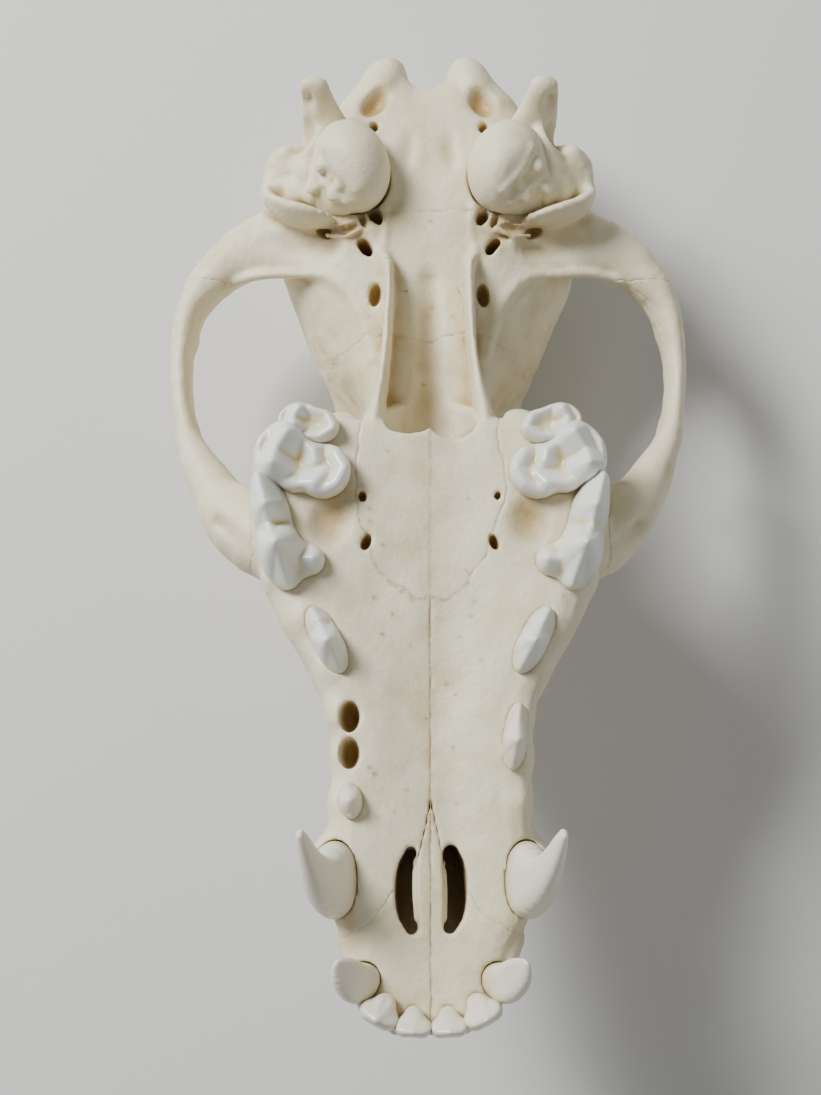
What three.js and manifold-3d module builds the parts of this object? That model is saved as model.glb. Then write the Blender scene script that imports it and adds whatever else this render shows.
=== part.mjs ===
// A coyote's cranium without its lower jaw, life size, lying on its forehead and crown with the palate up.
// Millimetres. The bones are drawn in the skull's own frame: x runs across from the midline, y runs back from
// the front of the incisor sockets, and z is the height over the palate, so that teeth point to +z and the
// roof of the skull to -z. The last lines lay the whole skull down on its three resting points.
import * as THREE from 'three';
import { mergeVertices } from 'three/addons/utils/BufferGeometryUtils.js';
import Module from 'manifold-3d';

const wasm = await Module();
wasm.setup();

// Driving dimensions
const ARCH_SPAN = 98;
const PALATE_END = 103;
const SUTURE = 0.3;
const REST_TILT = THREE.MathUtils.degToRad(5.04);

// Sizes that several bones share
const FAR = 90;
const LONG = 400;
const ARCH_PLANE = 32;
const CANINE = { x: 16.3, y: 25.4 };
const BULLA = { x: 14.7, y: 154.6, z: -10, across: 7.8, along: 9.6, deep: 8.4, turn: 0.3 };
const SMALLEST_EDGE = 0.18;
const RING_SPACING = 6.1;
const RING_DETAIL = 3;
const PASSAGE_STEP = 6;
const PASSAGE_SIDES = 12;
const INCISOR_FOOT = -4;
const CHEEK_TOOTH_FOOT = -3.4;

// The closed outline of the skull across each station y, on one side: the roof at the midline, the brow, the
// waist of the side wall, the cheek, the outer edge of the underside, and the underside at the midline.
const SECTIONS = [
  // y, roof, brow x and z, waist x and z, cheek x and z, edge x and z, floor
  [-0.2, -7, 3.2, -6.2, 5.2, -4.6, 6.2, -3, 5.2, -1, -1],
  [4, -12, 5, -11, 8.2, -8, 10, -4.6, 8.6, -0.8, -0.8],
  [8, -18.5, 6.4, -17, 10.6, -11, 12.2, -5.5, 10.4, -0.7, -0.7],
  [13, -23.6, 7.6, -22, 12, -14, 14, -6, 12, -0.5, -0.8],
  [20, -25, 8.4, -23.6, 13.8, -16, 17, -7, 15, -0.5, -1],
  [27, -26, 8.6, -24.8, 14.2, -18, 18, -8, 16, -0.4, -1.2],
  [38, -27.6, 8.6, -26.4, 13.8, -19.5, 16.9, -8.5, 15.2, -0.4, -1.6],
  [50, -29.8, 9.2, -28.6, 14.2, -21.5, 16.9, -9.5, 15.6, -0.4, -1.7],
  [60, -32.6, 10.6, -31.4, 16.6, -24, 20.8, -11, 19.4, -0.4, -1.7],
  [70, -36.8, 13, -35.8, 20.6, -28, 26.2, -13, 24.8, -0.5, -1.7],
  [78, -41.2, 15.5, -40.6, 22.8, -32, 29.2, -13, 27.4, -0.6, -1.6],
  [84, -45.2, 17, -44.6, 19, -33, 30, -11, 28.4, -0.8, -1.6],
  [92, -50.4, 18.2, -49, 12, -29, 29.6, -8.4, 28.4, -1, -1.4],
  [99, -53.8, 21.2, -50.4, 10.8, -28, 26, -8, 25.6, -1.2, -1],
  [103, -54.2, 22.2, -49.4, 10.8, -28, 23.2, -8, 23, -1.4, -1],
  [106.5, -54, 20.4, -48.6, 11, -28.4, 12.6, -10, 11.6, -5, -5],
  [112, -52.8, 17.8, -47, 13.2, -33, 11.4, -20, 9.2, -14.8, -14.8],
  [120, -50.9, 17.4, -45.6, 19.4, -36, 15.6, -21, 9.4, -14.8, -14.6],
  [130, -49.9, 17.6, -45.6, 24, -34.5, 20.6, -20.5, 12, -14, -14],
  [140, -49.1, 18.4, -44.4, 27.6, -32.5, 25, -19, 15.5, -13.2, -13],
  [150, -47.7, 18.4, -42.4, 28.8, -31, 26.6, -18.5, 15.5, -12.6, -12.4],
  [158, -45.6, 16.4, -40, 27.4, -30, 25.4, -18, 14.6, -12.6, -12.4],
  [166, -42.4, 12.8, -36.8, 22.8, -29, 21, -18.4, 13, -13.4, -13],
  [172, -39.4, 8, -35.6, 15.5, -29.5, 14.6, -20, 9.5, -16, -15.4],
  [175.4, -37, 4.4, -34.4, 9.6, -29.4, 9.4, -22, 6.4, -18.4, -17.6],
].map(([y, roof, browX, browZ, waistX, waistZ, cheekX, cheekZ, edgeX, edgeZ, floor]) => ({
  y,
  roof,
  brow: [browX, browZ],
  waist: [waistX, waistZ],
  cheek: [cheekX, cheekZ],
  edge: [edgeX, edgeZ],
  floor,
}));

// Shape helpers

const vec = (x, y, z) => new THREE.Vector3(x, y, z);
const mirrored = (side, list) => list.map((p) => ({ ...p, x: p.x * side }));
const join = (pieces) => pieces.reduce((sum, piece) => sum.add(piece));
const bothSides = (make) => [-1, 1].flatMap(make);

// One closed mesh as a solid. Corners that touch are merged, and faces that point inwards are turned round.
function solid(geometry, weld = 1e-4) {
  const bare = geometry.index ? geometry.toNonIndexed() : geometry.clone();
  bare.deleteAttribute('normal');
  bare.deleteAttribute('uv');
  const merged = mergeVertices(bare, weld);
  const vertProperties = new Float32Array(merged.attributes.position.array);
  const corners = merged.index.array;
  const faces = [];
  for (let i = 0; i < corners.length; i += 3) {
    const [a, b, c] = [corners[i], corners[i + 1], corners[i + 2]];
    if (a !== b && b !== c && c !== a) faces.push([a, b, c]);
  }
  const made = (list) =>
    new wasm.Manifold(new wasm.Mesh({ numProp: 3, vertProperties, triVerts: new Uint32Array(list.flat()) }));
  const first = made(faces);
  return first.volume() > 0 ? first : made(faces.map(([a, b, c]) => [a, c, b]));
}

// A closed skin over rings of points, with a fan at each end.
function skin(rings) {
  const sides = rings[0].length;
  const points = rings.flat();
  const index = [];
  for (let r = 0; r + 1 < rings.length; r += 1) {
    for (let i = 0; i < sides; i += 1) {
      const a = r * sides + i;
      const b = r * sides + ((i + 1) % sides);
      index.push(a, b, a + sides, b, b + sides, a + sides);
    }
  }
  [rings[0], rings[rings.length - 1]].forEach((ring, end) => {
    const centre = ring.reduce((sum, p) => sum.add(p), vec(0, 0, 0)).divideScalar(sides);
    const first = end ? (rings.length - 1) * sides : 0;
    points.push(centre);
    for (let i = 0; i < sides; i += 1) {
      const a = first + i;
      const b = first + ((i + 1) % sides);
      index.push(...(end ? [a, b, points.length - 1] : [b, a, points.length - 1]));
    }
  });
  return new THREE.BufferGeometry().setFromPoints(points).setIndex(index);
}

// The value of `read` between the stations at y, on a smooth line that never swings past a station's value.
function valueAt(stations, read, y) {
  const last = stations.length - 1;
  const rise = (k) => (read(stations[k + 1]) - read(stations[k])) / (stations[k + 1].y - stations[k].y);
  const slope = (k) => {
    if (k === 0 || k === last) return rise(k === 0 ? 0 : last - 1);
    const [before, after] = [rise(k - 1), rise(k)];
    return before * after <= 0 ? 0 : (2 * before * after) / (before + after);
  };
  let i = 0;
  while (i < last - 1 && y > stations[i + 1].y) i += 1;
  const span = stations[i + 1].y - stations[i].y;
  const t = THREE.MathUtils.clamp((y - stations[i].y) / span, 0, 1);
  const early = (1 + 2 * t) * (1 - t) ** 2;
  return (
    early * read(stations[i]) +
    (1 - early) * read(stations[i + 1]) +
    t * (1 - t) ** 2 * span * slope(i) +
    t * t * (t - 1) * span * slope(i + 1)
  );
}

// A smooth body over the sections, with `perSpan` corners between two points of an outline.
function shell(sections, step, perSpan) {
  const first = sections[0].y;
  const length = sections[sections.length - 1].y - first;
  const count = Math.round(length / step);
  const rings = [];
  for (let r = 0; r <= count; r += 1) {
    const y = first + (length * r) / count;
    const at = (read) => valueAt(sections, read, y);
    const levels = ['brow', 'waist', 'cheek', 'edge'];
    const half = levels.map((key) => [at((s) => s[key][0]), at((s) => s[key][1])]);
    const right = half.map(([x, z]) => vec(x, y, z));
    const left = half.map(([x, z]) => vec(-x, y, z)).reverse();
    const outline = [vec(0, y, at((s) => s.roof)), ...right, vec(0, y, at((s) => s.floor)), ...left];
    const curve = new THREE.CatmullRomCurve3(outline, true, 'centripetal');
    rings.push(curve.getPoints(outline.length * perSpan).slice(0, -1));
  }
  return solid(skin(rings));
}

// A body along y with oval sections: half width `wide`, from `roof` to `floor`.
function tunnel(stations, step, sides) {
  const first = stations[0].y;
  const length = stations[stations.length - 1].y - first;
  const count = Math.max(2, Math.round(length / step));
  const rings = [];
  for (let r = 0; r <= count; r += 1) {
    const y = first + (length * r) / count;
    const [wide, roof, floor] = ['wide', 'roof', 'floor'].map((key) => valueAt(stations, (s) => s[key], y));
    const ring = [];
    for (let i = 0; i < sides; i += 1) {
      const angle = (2 * Math.PI * (i + 0.5)) / sides;
      ring.push(vec(wide * Math.cos(angle), y, (roof + floor) / 2 + ((floor - roof) / 2) * Math.sin(angle)));
    }
    rings.push(ring);
  }
  return solid(skin(rings));
}

// A rod along a smooth path. Each point has its half width `a`, level with the palate, and half height `b`.
function rod(points, { rings, sides, up = vec(0, 0, 1) }) {
  const path = new THREE.CatmullRomCurve3(points.map((p) => vec(p.x, p.y, p.z)), false, 'catmullrom', 0.5);
  const size = new THREE.CatmullRomCurve3(points.map((p) => vec(p.a, p.b, 0)), false, 'catmullrom', 0.5);
  const made = [];
  for (let r = 0; r <= rings; r += 1) {
    const t = r / rings;
    const centre = path.getPoint(t);
    const along = path.getTangent(t);
    const level = vec(0, 0, 0).crossVectors(along, up).normalize();
    const tall = vec(0, 0, 0).crossVectors(level, along).normalize();
    const { x: a, y: b } = size.getPoint(t);
    const ring = [];
    for (let i = 0; i < sides; i += 1) {
      const angle = (2 * Math.PI * i) / sides;
      ring.push(
        centre.clone().addScaledVector(level, a * Math.cos(angle)).addScaledVector(tall, b * Math.sin(angle)),
      );
    }
    made.push(ring);
  }
  return solid(skin(made));
}

function ball(centre, radii, { turn = [0, 0, 0], sides = 12, rows = 7 } = {}) {
  const made = new THREE.SphereGeometry(1, sides, rows);
  made.scale(...radii);
  made.applyMatrix4(new THREE.Matrix4().makeRotationFromEuler(new THREE.Euler(...turn)));
  made.translate(...centre);
  return solid(made);
}

// A slab across the skull with the outline given as [y, z] points, from x0 to x1.
function slab(outline, x0, x1) {
  const shape = new THREE.Shape(outline.map(([y, z]) => new THREE.Vector2(y, z)));
  const made = new THREE.ExtrudeGeometry(shape, { depth: x1 - x0, bevelEnabled: false });
  made.applyMatrix4(new THREE.Matrix4().makeBasis(vec(0, 1, 0), vec(0, 0, 1), vec(1, 0, 0)));
  made.translate(x0, 0, 0);
  return solid(made);
}

// Raised parts

// Forehead swellings that carry the resting skull, and the spur behind each eye
function browParts() {
  return bothSides((side) => [
    ball([side * 10.5, 97.5, -48.2], [9, 15, 6.7], { sides: 12, rows: 6 }),
    rod(
      mirrored(side, [
        { x: 15, y: 99, z: -47.5, a: 6, b: 4.4 },
        { x: 20.5, y: 101.5, z: -47.6, a: 4.4, b: 3.4 },
        { x: 24.4, y: 104, z: -46, a: 2.6, b: 2.1 },
        { x: 26.6, y: 106, z: -44, a: 0.8, b: 0.8 },
      ]),
      { rings: 6, sides: 8 },
    ),
  ]);
}

// The crest along the crown, which ends in the point over the nape
function crownCrest() {
  return tunnel(
    [
      { y: 108, wide: 1.2, roof: -52.4, floor: -42 },
      { y: 124, wide: 1.7, roof: -52.2, floor: -42 },
      { y: 142, wide: 1.9, roof: -51.3, floor: -40 },
      { y: 158, wide: 2.2, roof: -50.1, floor: -36 },
      { y: 169, wide: 2.9, roof: -49, floor: -35 },
      { y: 176, wide: 2.9, roof: -48, floor: -36 },
      { y: 179, wide: 1.4, roof: -46.6, floor: -40 },
    ],
    6,
    8,
  );
}

// The flange from the point over the nape down to the bump behind each ear opening
function napeFlanges() {
  return bothSides((side) =>
    rod(
      mirrored(side, [
        { x: 0, y: 173.4, z: -43.6, a: 3.6, b: 3.4 },
        { x: 8.4, y: 170.6, z: -41.4, a: 3.4, b: 3.6 },
        { x: 16.4, y: 166.4, z: -36.4, a: 3, b: 3.6 },
        { x: 23, y: 161.8, z: -28.8, a: 2.8, b: 3.4 },
        { x: 26.8, y: 158.4, z: -21, a: 3, b: 3.6 },
        { x: 27.4, y: 157.4, z: -15.6, a: 2.8, b: 3.2 },
      ]),
      { rings: 10, sides: 8, up: vec(0, 1, 0) },
    ),
  );
}

// The pair of knuckles that met the first neck bone, with the notch between them filled on each side
function knuckles() {
  return bothSides((side) => [
    ball([side * 8.6, 174.4, -22], [5, 7.6, 8], { turn: [0, 0, side * 0.35], sides: 10, rows: 7 }),
    ball([side * 12.8, 169.6, -24], [5, 7.8, 9], { turn: [0, 0, side * 0.5], sides: 10, rows: 7 }),
    ball([side * 5.4, 172.2, -20], [4, 5, 5], { turn: [0, 0, -side * 0.3], sides: 8, rows: 5 }),
  ]);
}

// Behind each ear capsule stands a flat finger of bone, and beside it are low bumps
function napeFingers() {
  return bothSides((side) => [
    rod(
      mirrored(side, [
        { x: 17.2, y: 161, z: -18, a: 6, b: 4 },
        { x: 19.2, y: 163.8, z: -12.8, a: 4.9, b: 2.7 },
        { x: 20.5, y: 166.6, z: -8, a: 3.5, b: 1.9 },
        { x: 21, y: 168.4, z: -4.8, a: 2.6, b: 1.6 },
        { x: 21, y: 169.2, z: -3.2, a: 1.6, b: 0.9 },
      ]),
      { rings: 6, sides: 8, up: vec(0, 1, 0) },
    ),
    ball([side * 25.4, 157.4, -17.4], [5.2, 4.6, 5.6], { turn: [0, 0, side * 0.3], sides: 8, rows: 6 }),
    ball([side * 28, 153.4, -18.6], [3.6, 3.2, 5], { turn: [0, 0, -side * 0.3], sides: 8, rows: 6 }),
  ]);
}

// The lip behind each jaw joint
function jointLips() {
  return bothSides((side) =>
    rod(
      mirrored(side, [
        { x: 19, y: 145.6, z: -15.6, a: 1.4, b: 1.8 },
        { x: 21.6, y: 146, z: -12.4, a: 1.6, b: 4.4 },
        { x: 25, y: 147.2, z: -12, a: 1.8, b: 5.6 },
        { x: 28.4, y: 148.6, z: -14.2, a: 1.7, b: 4.6 },
        { x: 31.4, y: 149.4, z: -17.6, a: 1.4, b: 2.4 },
      ]),
      { rings: 6, sides: 8 },
    ),
  );
}

// A cheek arch from the jaw joint round to the root beside the first molar, with its spur behind the eye and
// the shelf beside the molar
function arches() {
  const outer = ARCH_SPAN / 2;
  return bothSides((side) => [
    rod(
      mirrored(side, [
        { x: 17, y: 143.4, z: -20, a: 6.4, b: 4.6 },
        { x: 25, y: 144, z: -20.4, a: 6.6, b: 4.4 },
        { x: 32, y: 143.6, z: -21.4, a: 6, b: 4.3 },
        { x: 38.6, y: 140.2, z: -22.8, a: 4.6, b: 4.8 },
        { x: outer - 5, y: 134.4, z: -24.8, a: 3.2, b: 5.4 },
        { x: outer - 2.8, y: 127.4, z: -26, a: 2.5, b: 5.5 },
        { x: outer - 2.2, y: 119.6, z: -26.2, a: 2.2, b: 5.4 },
        { x: outer - 3, y: 112, z: -25, a: 2.2, b: 5.4 },
        { x: outer - 5, y: 104.6, z: -22.4, a: 2.6, b: 5.8 },
        { x: outer - 8.8, y: 97.2, z: -18.8, a: 4, b: 6.4 },
        { x: outer - 13, y: 90.8, z: -15.6, a: 5.4, b: 7 },
        { x: outer - 18, y: 86, z: -13.4, a: 6.4, b: 7.6 },
        { x: outer - 24, y: 83, z: -12.4, a: 6.6, b: 7.6 },
      ]),
      { rings: 16, sides: 9 },
    ),
    rod(
      mirrored(side, [
        { x: outer - 3.8, y: 107, z: -24, a: 2, b: 4 },
        { x: outer - 3.8, y: 108.6, z: -29.5, a: 1.5, b: 3 },
        { x: outer - 4.2, y: 109.6, z: -33, a: 0.9, b: 1.2 },
      ]),
      { rings: 4, sides: 8, up: vec(0, 1, 0) },
    ),
    ball([side * (outer - 15.4), 89.6, -12.6], [6, 5.6, 5.4], { sides: 8, rows: 6 }),
  ]);
}

// The sockets' outer wall beside the molars, the swelling behind the last molar, and the thin walls of the
// throat passage that run back from it
function throatWalls() {
  return bothSides((side) => [
    ball([side * 26.6, 96.4, -5.2], [4.6, 6.6, 4.6], { turn: [0, 0, side * 0.3], sides: 8, rows: 6 }),
    ball([side * 16, 102.6, -4.6], [4.9, 4.6, 4.2], { sides: 8, rows: 6 }),
    rod(
      mirrored(side, [
        { x: 10.6, y: 99, z: -7, a: 2.6, b: 6.2 },
        { x: 9.7, y: 106.4, z: -8, a: 1.7, b: 7 },
        { x: 8.5, y: 114, z: -9.4, a: 1.2, b: 6.8 },
        { x: 7.8, y: 122, z: -11, a: 1, b: 6.6 },
        { x: 7.4, y: 129, z: -12, a: 1, b: 6.4 },
        { x: 7.4, y: 134.6, z: -12.4, a: 0.9, b: 4.8 },
      ]),
      { rings: 7, sides: 7 },
    ),
  ]);
}

// The rim of bone that holds the incisors, and the bulge over each canine's root
function toothBeds() {
  return bothSides((side) => [
    rod(
      mirrored(side, [
        { x: 0, y: 1.8, z: -3, a: 2.2, b: 2.2 },
        { x: 5.6, y: 2.6, z: -3, a: 2.4, b: 2.3 },
        { x: 10, y: 5.6, z: -3.2, a: 2.6, b: 2.5 },
        { x: 12.8, y: 10.4, z: -3.6, a: 2.4, b: 2.8 },
        { x: 14, y: 15, z: -4.6, a: 1.8, b: 2.6 },
      ]),
      { rings: 6, sides: 7 },
    ),
    rod(
      mirrored(side, [
        { x: 17.4, y: 25.6, z: -3, a: 4.2, b: 5.2 },
        { x: 17, y: 29, z: -9, a: 3, b: 4.4 },
        { x: 14.8, y: 34, z: -15, a: 2.2, b: 3.4 },
        { x: 12.6, y: 40, z: -20, a: 1.2, b: 2.2 },
      ]),
      { rings: 4, sides: 8, up: vec(0, 1, 0) },
    ),
  ]);
}

// Openings

function eyeSockets() {
  return bothSides((side) =>
    ball([side * 29.5, 91.5, -29], [15.6, 13, 13.2], { turn: [0.1, side * 0.2, 0], sides: 14, rows: 8 }),
  );
}

function noseOpening() {
  return tunnel(
    [
      { y: -4, wide: 6.4, roof: -30, floor: -4.6 },
      { y: 4, wide: 7, roof: -28, floor: -5 },
      { y: 13, wide: 8, roof: -21.6, floor: -5 },
      { y: 24, wide: 8, roof: -22, floor: -4 },
      { y: 36, wide: 4, roof: -20, floor: -8 },
    ],
    PASSAGE_STEP,
    PASSAGE_SIDES,
  );
}

function spinalOpening() {
  return tunnel(
    [
      { y: 150, wide: 4, roof: -33, floor: -24 },
      { y: 158, wide: 8.6, roof: -35, floor: -20.6 },
      { y: 166, wide: 8.4, roof: -34.6, floor: -20.6 },
      { y: 174, wide: 7.8, roof: -34, floor: -20.4 },
      { y: 188, wide: 9.4, roof: -35.4, floor: -18.6 },
    ],
    PASSAGE_STEP,
    PASSAGE_SIDES,
  );
}

function throatPassage() {
  return tunnel(
    [
      { y: 84, wide: 3.5, roof: -10.5, floor: -6 },
      { y: 92, wide: 6, roof: -12.8, floor: -5 },
      { y: PALATE_END, wide: 7.6, roof: -14.4, floor: -4 },
      { y: PALATE_END + 1.8, wide: 8, roof: -15, floor: 12 },
      { y: 112, wide: 7.6, roof: -15.8, floor: 14 },
      { y: 128, wide: 6.5, roof: -15.4, floor: 14 },
      { y: 139, wide: 5.4, roof: -12.4, floor: 14 },
    ],
    PASSAGE_STEP,
    PASSAGE_SIDES,
  );
}

// Two slots in the front of the palate
function palateSlots() {
  return bothSides((side) => ball([side * 3.9, 23, -3], [1.9, 8, 8], { sides: 10, rows: 8 }));
}

// The two arcs of the palate's rear edge, the cleft outside each throat wall, and the notch between the
// knuckles
function notches() {
  return [
    ...bothSides((side) => [
      ball([side * 4, PALATE_END + 1.2, -2], [4.2, 2.5, 6], { sides: 10, rows: 5 }),
      ball([side * 12.5, 108.4, -4], [1.2, 3.6, 9], { sides: 8, rows: 6 }),
    ]),
    ball([0, 180.6, -18], [3.8, 6.2, 10], { sides: 10, rows: 5 }),
  ];
}

// The hollow inside each slicing tooth, and the one before each knuckle
function hollows() {
  return bothSides((side) => [
    ball([side * 17, 86, 1.5], [4, 4.6, 3], { sides: 8, rows: 6 }),
    ball([side * 10.6, 171.6, -13.6], [2.8, 3.4, 3.6], { turn: [0, 0, side * 0.6], sides: 8, rows: 5 }),
  ]);
}

// The holes that pass nerves and vessels: half sizes across and along, the depth, and the turn on the
// palate
function nerveHoles() {
  const holes = [
    { x: 11.1, y: 82.6, z: -1, across: 1.1, along: 1.8, deep: 3.4, turn: 0.35 },
    { x: 11.8, y: 90.8, z: -1, across: 0.8, along: 1.1, deep: 2.6, turn: -0.2 },
    { x: 9.9, y: 146.6, z: -13, across: 1.2, along: 2.1, deep: 4, turn: -0.45 },
    { x: 11.8, y: 140.8, z: -14, across: 1.2, along: 2, deep: 5, turn: -0.6 },
  ];
  return bothSides((side) => [
    ...holes.map(({ x, y, z, across, along, deep, turn }) =>
      ball([side * x, y, z], [across, along, deep], { turn: [0, 0, side * turn], sides: 6, rows: 5 }),
    ),
    rod(
      mirrored(side, [
        { x: 24, y: 59, z: -17, a: 3, b: 3.4 },
        { x: 20, y: 66, z: -17, a: 1.8, b: 3 },
        { x: 17, y: 73, z: -17, a: 1.4, b: 2.4 },
      ]),
      { rings: 3, sides: 8 },
    ),
  ]);
}

// The empty double socket of the lost second premolar, on the skull's left
function emptySockets() {
  return [52.2, 46].map((y) => ball([-13.8, y, -0.5], [1.8, 2.7, 5.4], { sides: 8, rows: 6 }));
}

// Teeth

// How wide a cusp is from its foot to its tip
const POINTED = [0.92, 1, 0.66, 0.12];
const BLUNT = [0.9, 1, 0.94, 0.5];

// A cusp is a short rod whose foot is sunk in the bone. `lean` shifts its tip, and `turn` turns it on the
// palate.
function cusp({ x, y, foot, tip, wide, long, leanX = 0, leanY = 0, turn = 0, form = POINTED, sides = 7 }) {
  const rings = form.map((size, level) => {
    const t = level / (form.length - 1);
    const ring = [];
    for (let i = 0; i < sides; i += 1) {
      const angle = (2 * Math.PI * i) / sides;
      const height = foot + (tip - foot) * t;
      const offset = vec(wide * size * Math.cos(angle), long * size * Math.sin(angle), height);
      offset.applyAxisAngle(vec(0, 0, 1), turn);
      ring.push(offset.add(vec(x + leanX * t * t, y + leanY * t * t, 0)));
    }
    return ring;
  });
  return solid(skin(rings));
}

function incisors() {
  const row = [
    { x: 2.95, y: 1.5, tip: 5.8, wide: 2.8, long: 2.4, leanY: -0.3, turn: 0.05, form: BLUNT },
    { x: 8.3, y: 3.4, tip: 6.8, wide: 3, long: 2.7, leanX: 0.2, turn: 0.45, form: BLUNT },
    { x: 12.2, y: 7.8, tip: 9.2, wide: 3.3, long: 3.8, leanX: 3, leanY: 2.8, turn: 0.75 },
  ];
  const place = (t, side) => {
    const [x, leanX, turn] = [t.x, t.leanX ?? 0, t.turn].map((value) => side * value);
    return { ...t, foot: INCISOR_FOOT, x, leanX, turn };
  };
  return bothSides((side) => row.map((t) => cusp(place(t, side))));
}

function canines() {
  return bothSides((side) =>
    rod(
      mirrored(side, [
        { x: CANINE.x - 0.6, y: CANINE.y + 0.6, z: -7, a: 3.8, b: 5.6 },
        { x: CANINE.x, y: CANINE.y - 0.7, z: 0.5, a: 4.25, b: 6.4 },
        { x: CANINE.x + 1.4, y: CANINE.y - 1, z: 6, a: 3.4, b: 4.6 },
        { x: CANINE.x + 2.8, y: CANINE.y + 1.2, z: 12, a: 2.2, b: 2.9 },
        { x: CANINE.x + 3.9, y: CANINE.y + 4.5, z: 17, a: 1.3, b: 1.6 },
        { x: CANINE.x + 4.5, y: CANINE.y + 6.4, z: 19.6, a: 0.5, b: 0.6 },
      ]),
      { rings: 7, sides: 10, up: vec(0, 1, 0) },
    ),
  );
}

// The cusps of each cheek tooth: place, height over the palate, half width, half length and turn along the
// row
const CHEEK_TEETH = {
  first: [{ x: 13.6, y: 38, tip: 4.6, wide: 2.1, long: 3.1, turn: 0.1 }],
  second: [
    { x: 14.4, y: 48.6, tip: 3, wide: 2.2, long: 6, turn: 0.12, form: BLUNT },
    { x: 14.4, y: 48, tip: 6.6, wide: 2.1, long: 4.2, turn: 0.12 },
  ],
  third: [
    { x: 17.6, y: 65, tip: 3.4, wide: 2.6, long: 6.3, turn: 0.46, form: BLUNT },
    { x: 17.5, y: 64.6, tip: 7.8, wide: 2.5, long: 4.4, turn: 0.46 },
  ],
  slicing: [
    { x: 26.5, y: 83.8, tip: 5, wide: 3.9, long: 10.2, turn: 0.25, form: BLUNT },
    { x: 25.8, y: 80.8, tip: 10.6, wide: 3.8, long: 6.4, turn: 0.25, leanX: 0.4 },
    { x: 27.9, y: 88.4, tip: 8.2, wide: 3.3, long: 5.4, turn: 0.25 },
    { x: 20.6, y: 78.8, tip: 4.4, wide: 2.9, long: 2.6, form: BLUNT },
  ],
  molar: [
    { x: 22.2, y: 96, tip: 3.2, wide: 8.2, long: 5.2, turn: -0.36, form: BLUNT },
    { x: 27, y: 95.2, tip: 6.8, wide: 3, long: 3.2, turn: -0.36 },
    { x: 24.6, y: 100.4, tip: 6, wide: 3.2, long: 3, turn: -0.36 },
    { x: 17.4, y: 94, tip: 4.4, wide: 4, long: 4.6, turn: 0.3, form: BLUNT },
  ],
  lastMolar: [
    { x: 21, y: 103.3, tip: 2.6, wide: 5.3, long: 3.4, turn: -0.1, form: BLUNT },
    { x: 23.6, y: 103.2, tip: 4, wide: 2.3, long: 2.8, turn: -0.1 },
    { x: 18, y: 102.8, tip: 3.4, wide: 2.2, long: 2.5, turn: -0.1 },
  ],
};

function cheekTeeth(side, names) {
  const cusps = names.flatMap((name) => CHEEK_TEETH[name]);
  return cusps.map((c) =>
    cusp({
      ...c,
      foot: CHEEK_TOOTH_FOOT,
      x: side * c.x,
      leanX: side * (c.leanX ?? 0),
      turn: -side * (c.turn ?? 0),
    }),
  );
}

// The whole skull

const head = shell(SECTIONS, RING_SPACING, RING_DETAIL)
  .add(join(browParts()))
  .subtract(join(eyeSockets()))
  .add(
    join([
      crownCrest(),
      ...napeFlanges(),
      ...knuckles(),
      ...napeFingers(),
      ...jointLips(),
      ...arches(),
      ...throatWalls(),
      ...toothBeds(),
    ]),
  );
const openings = join([
  noseOpening(),
  spinalOpening(),
  throatPassage(),
  ...palateSlots(),
  ...notches(),
  ...hollows(),
  ...nerveHoles(),
  ...emptySockets(),
]);
const teeth = join([
  ...incisors(),
  ...canines(),
  ...cheekTeeth(-1, ['first', 'third', 'slicing', 'molar', 'lastMolar']),
  ...cheekTeeth(1, ['second', 'third', 'slicing', 'molar', 'lastMolar']),
]);

// An ear capsule with the short tube of the ear opening, `grow` larger than the real one
function earCapsule(side, grow) {
  const { x, y, z, across, along, deep, turn } = BULLA;
  const dome = ball([side * x, y, z], [across + grow, along + grow, deep + grow], {
    turn: [0, 0, side * turn],
    sides: 14,
    rows: 10,
  });
  const tube = rod(
    mirrored(side, [
      { x: 17, y: 152.8, z: -14, a: 5 + grow, b: 4.4 + grow },
      { x: 21.5, y: 152.4, z: -14.5, a: 3.8 + grow, b: 3.6 + grow },
      { x: 25.4 + grow, y: 152, z: -15, a: 3.2 + grow, b: 3 + grow },
    ]),
    { rings: 3, sides: 8 },
  );
  const earHole = ball([side * 26.4, 152, -15], [4.6, 1.9, 1.8], { sides: 8, rows: 6 });
  return grow > 0 ? dome.add(tube) : dome.add(tube).subtract(earHole);
}

const whole = head
  .subtract(openings)
  .add(teeth)
  .subtract(join([earCapsule(-1, SUTURE), earCapsule(1, SUTURE)]));

// Bones

// Where neighbouring bones meet, seen from the side, as [y, z] points from the palate side to the roof
const MEETINGS = {
  premaxillaMaxilla: [[14.6, FAR], [14.6, 0], [33, -30], [33, -FAR]],
  maxillaFrontal: [[109, FAR], [109, -9], [80, -12.8], [80, -38], [70, -FAR]],
  frontalBraincase: [[137, FAR], [137, -13], [120, -16], [116, -FAR]],
  braincaseOccipital: [[147, FAR], [147, -14], [156, -19], [170, -42], [171, -FAR]],
};
const gap = SUTURE / 2;
const moved = (line, by) => line.map(([y, z]) => [y + by, z]);
const ahead = (line) => [[-LONG, FAR], ...moved(line, -gap), [-LONG, -FAR]];
const behind = (line) => [[LONG, FAR], ...moved(line, gap), [LONG, -FAR]];
const NASAL_UNDERSIDE = [[7.4, -19.2], [20, -21.6], [38, -24.4], [60, -28.8], [78, -36.4], [84, -42]];
const NASAL_BED = [...NASAL_UNDERSIDE, [84, -FAR], [7.4, -FAR]];
const NASAL_HALF_WIDTH = 6.4;
const NASAL_MIDDLE = 60;
const PALATINE = [[109.2, FAR], [109.2, -12], [113, -18.6], [136.8, -17.6], [136.8, FAR]];
const PALATINE_HALF_WIDTH = 11.4;
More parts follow.
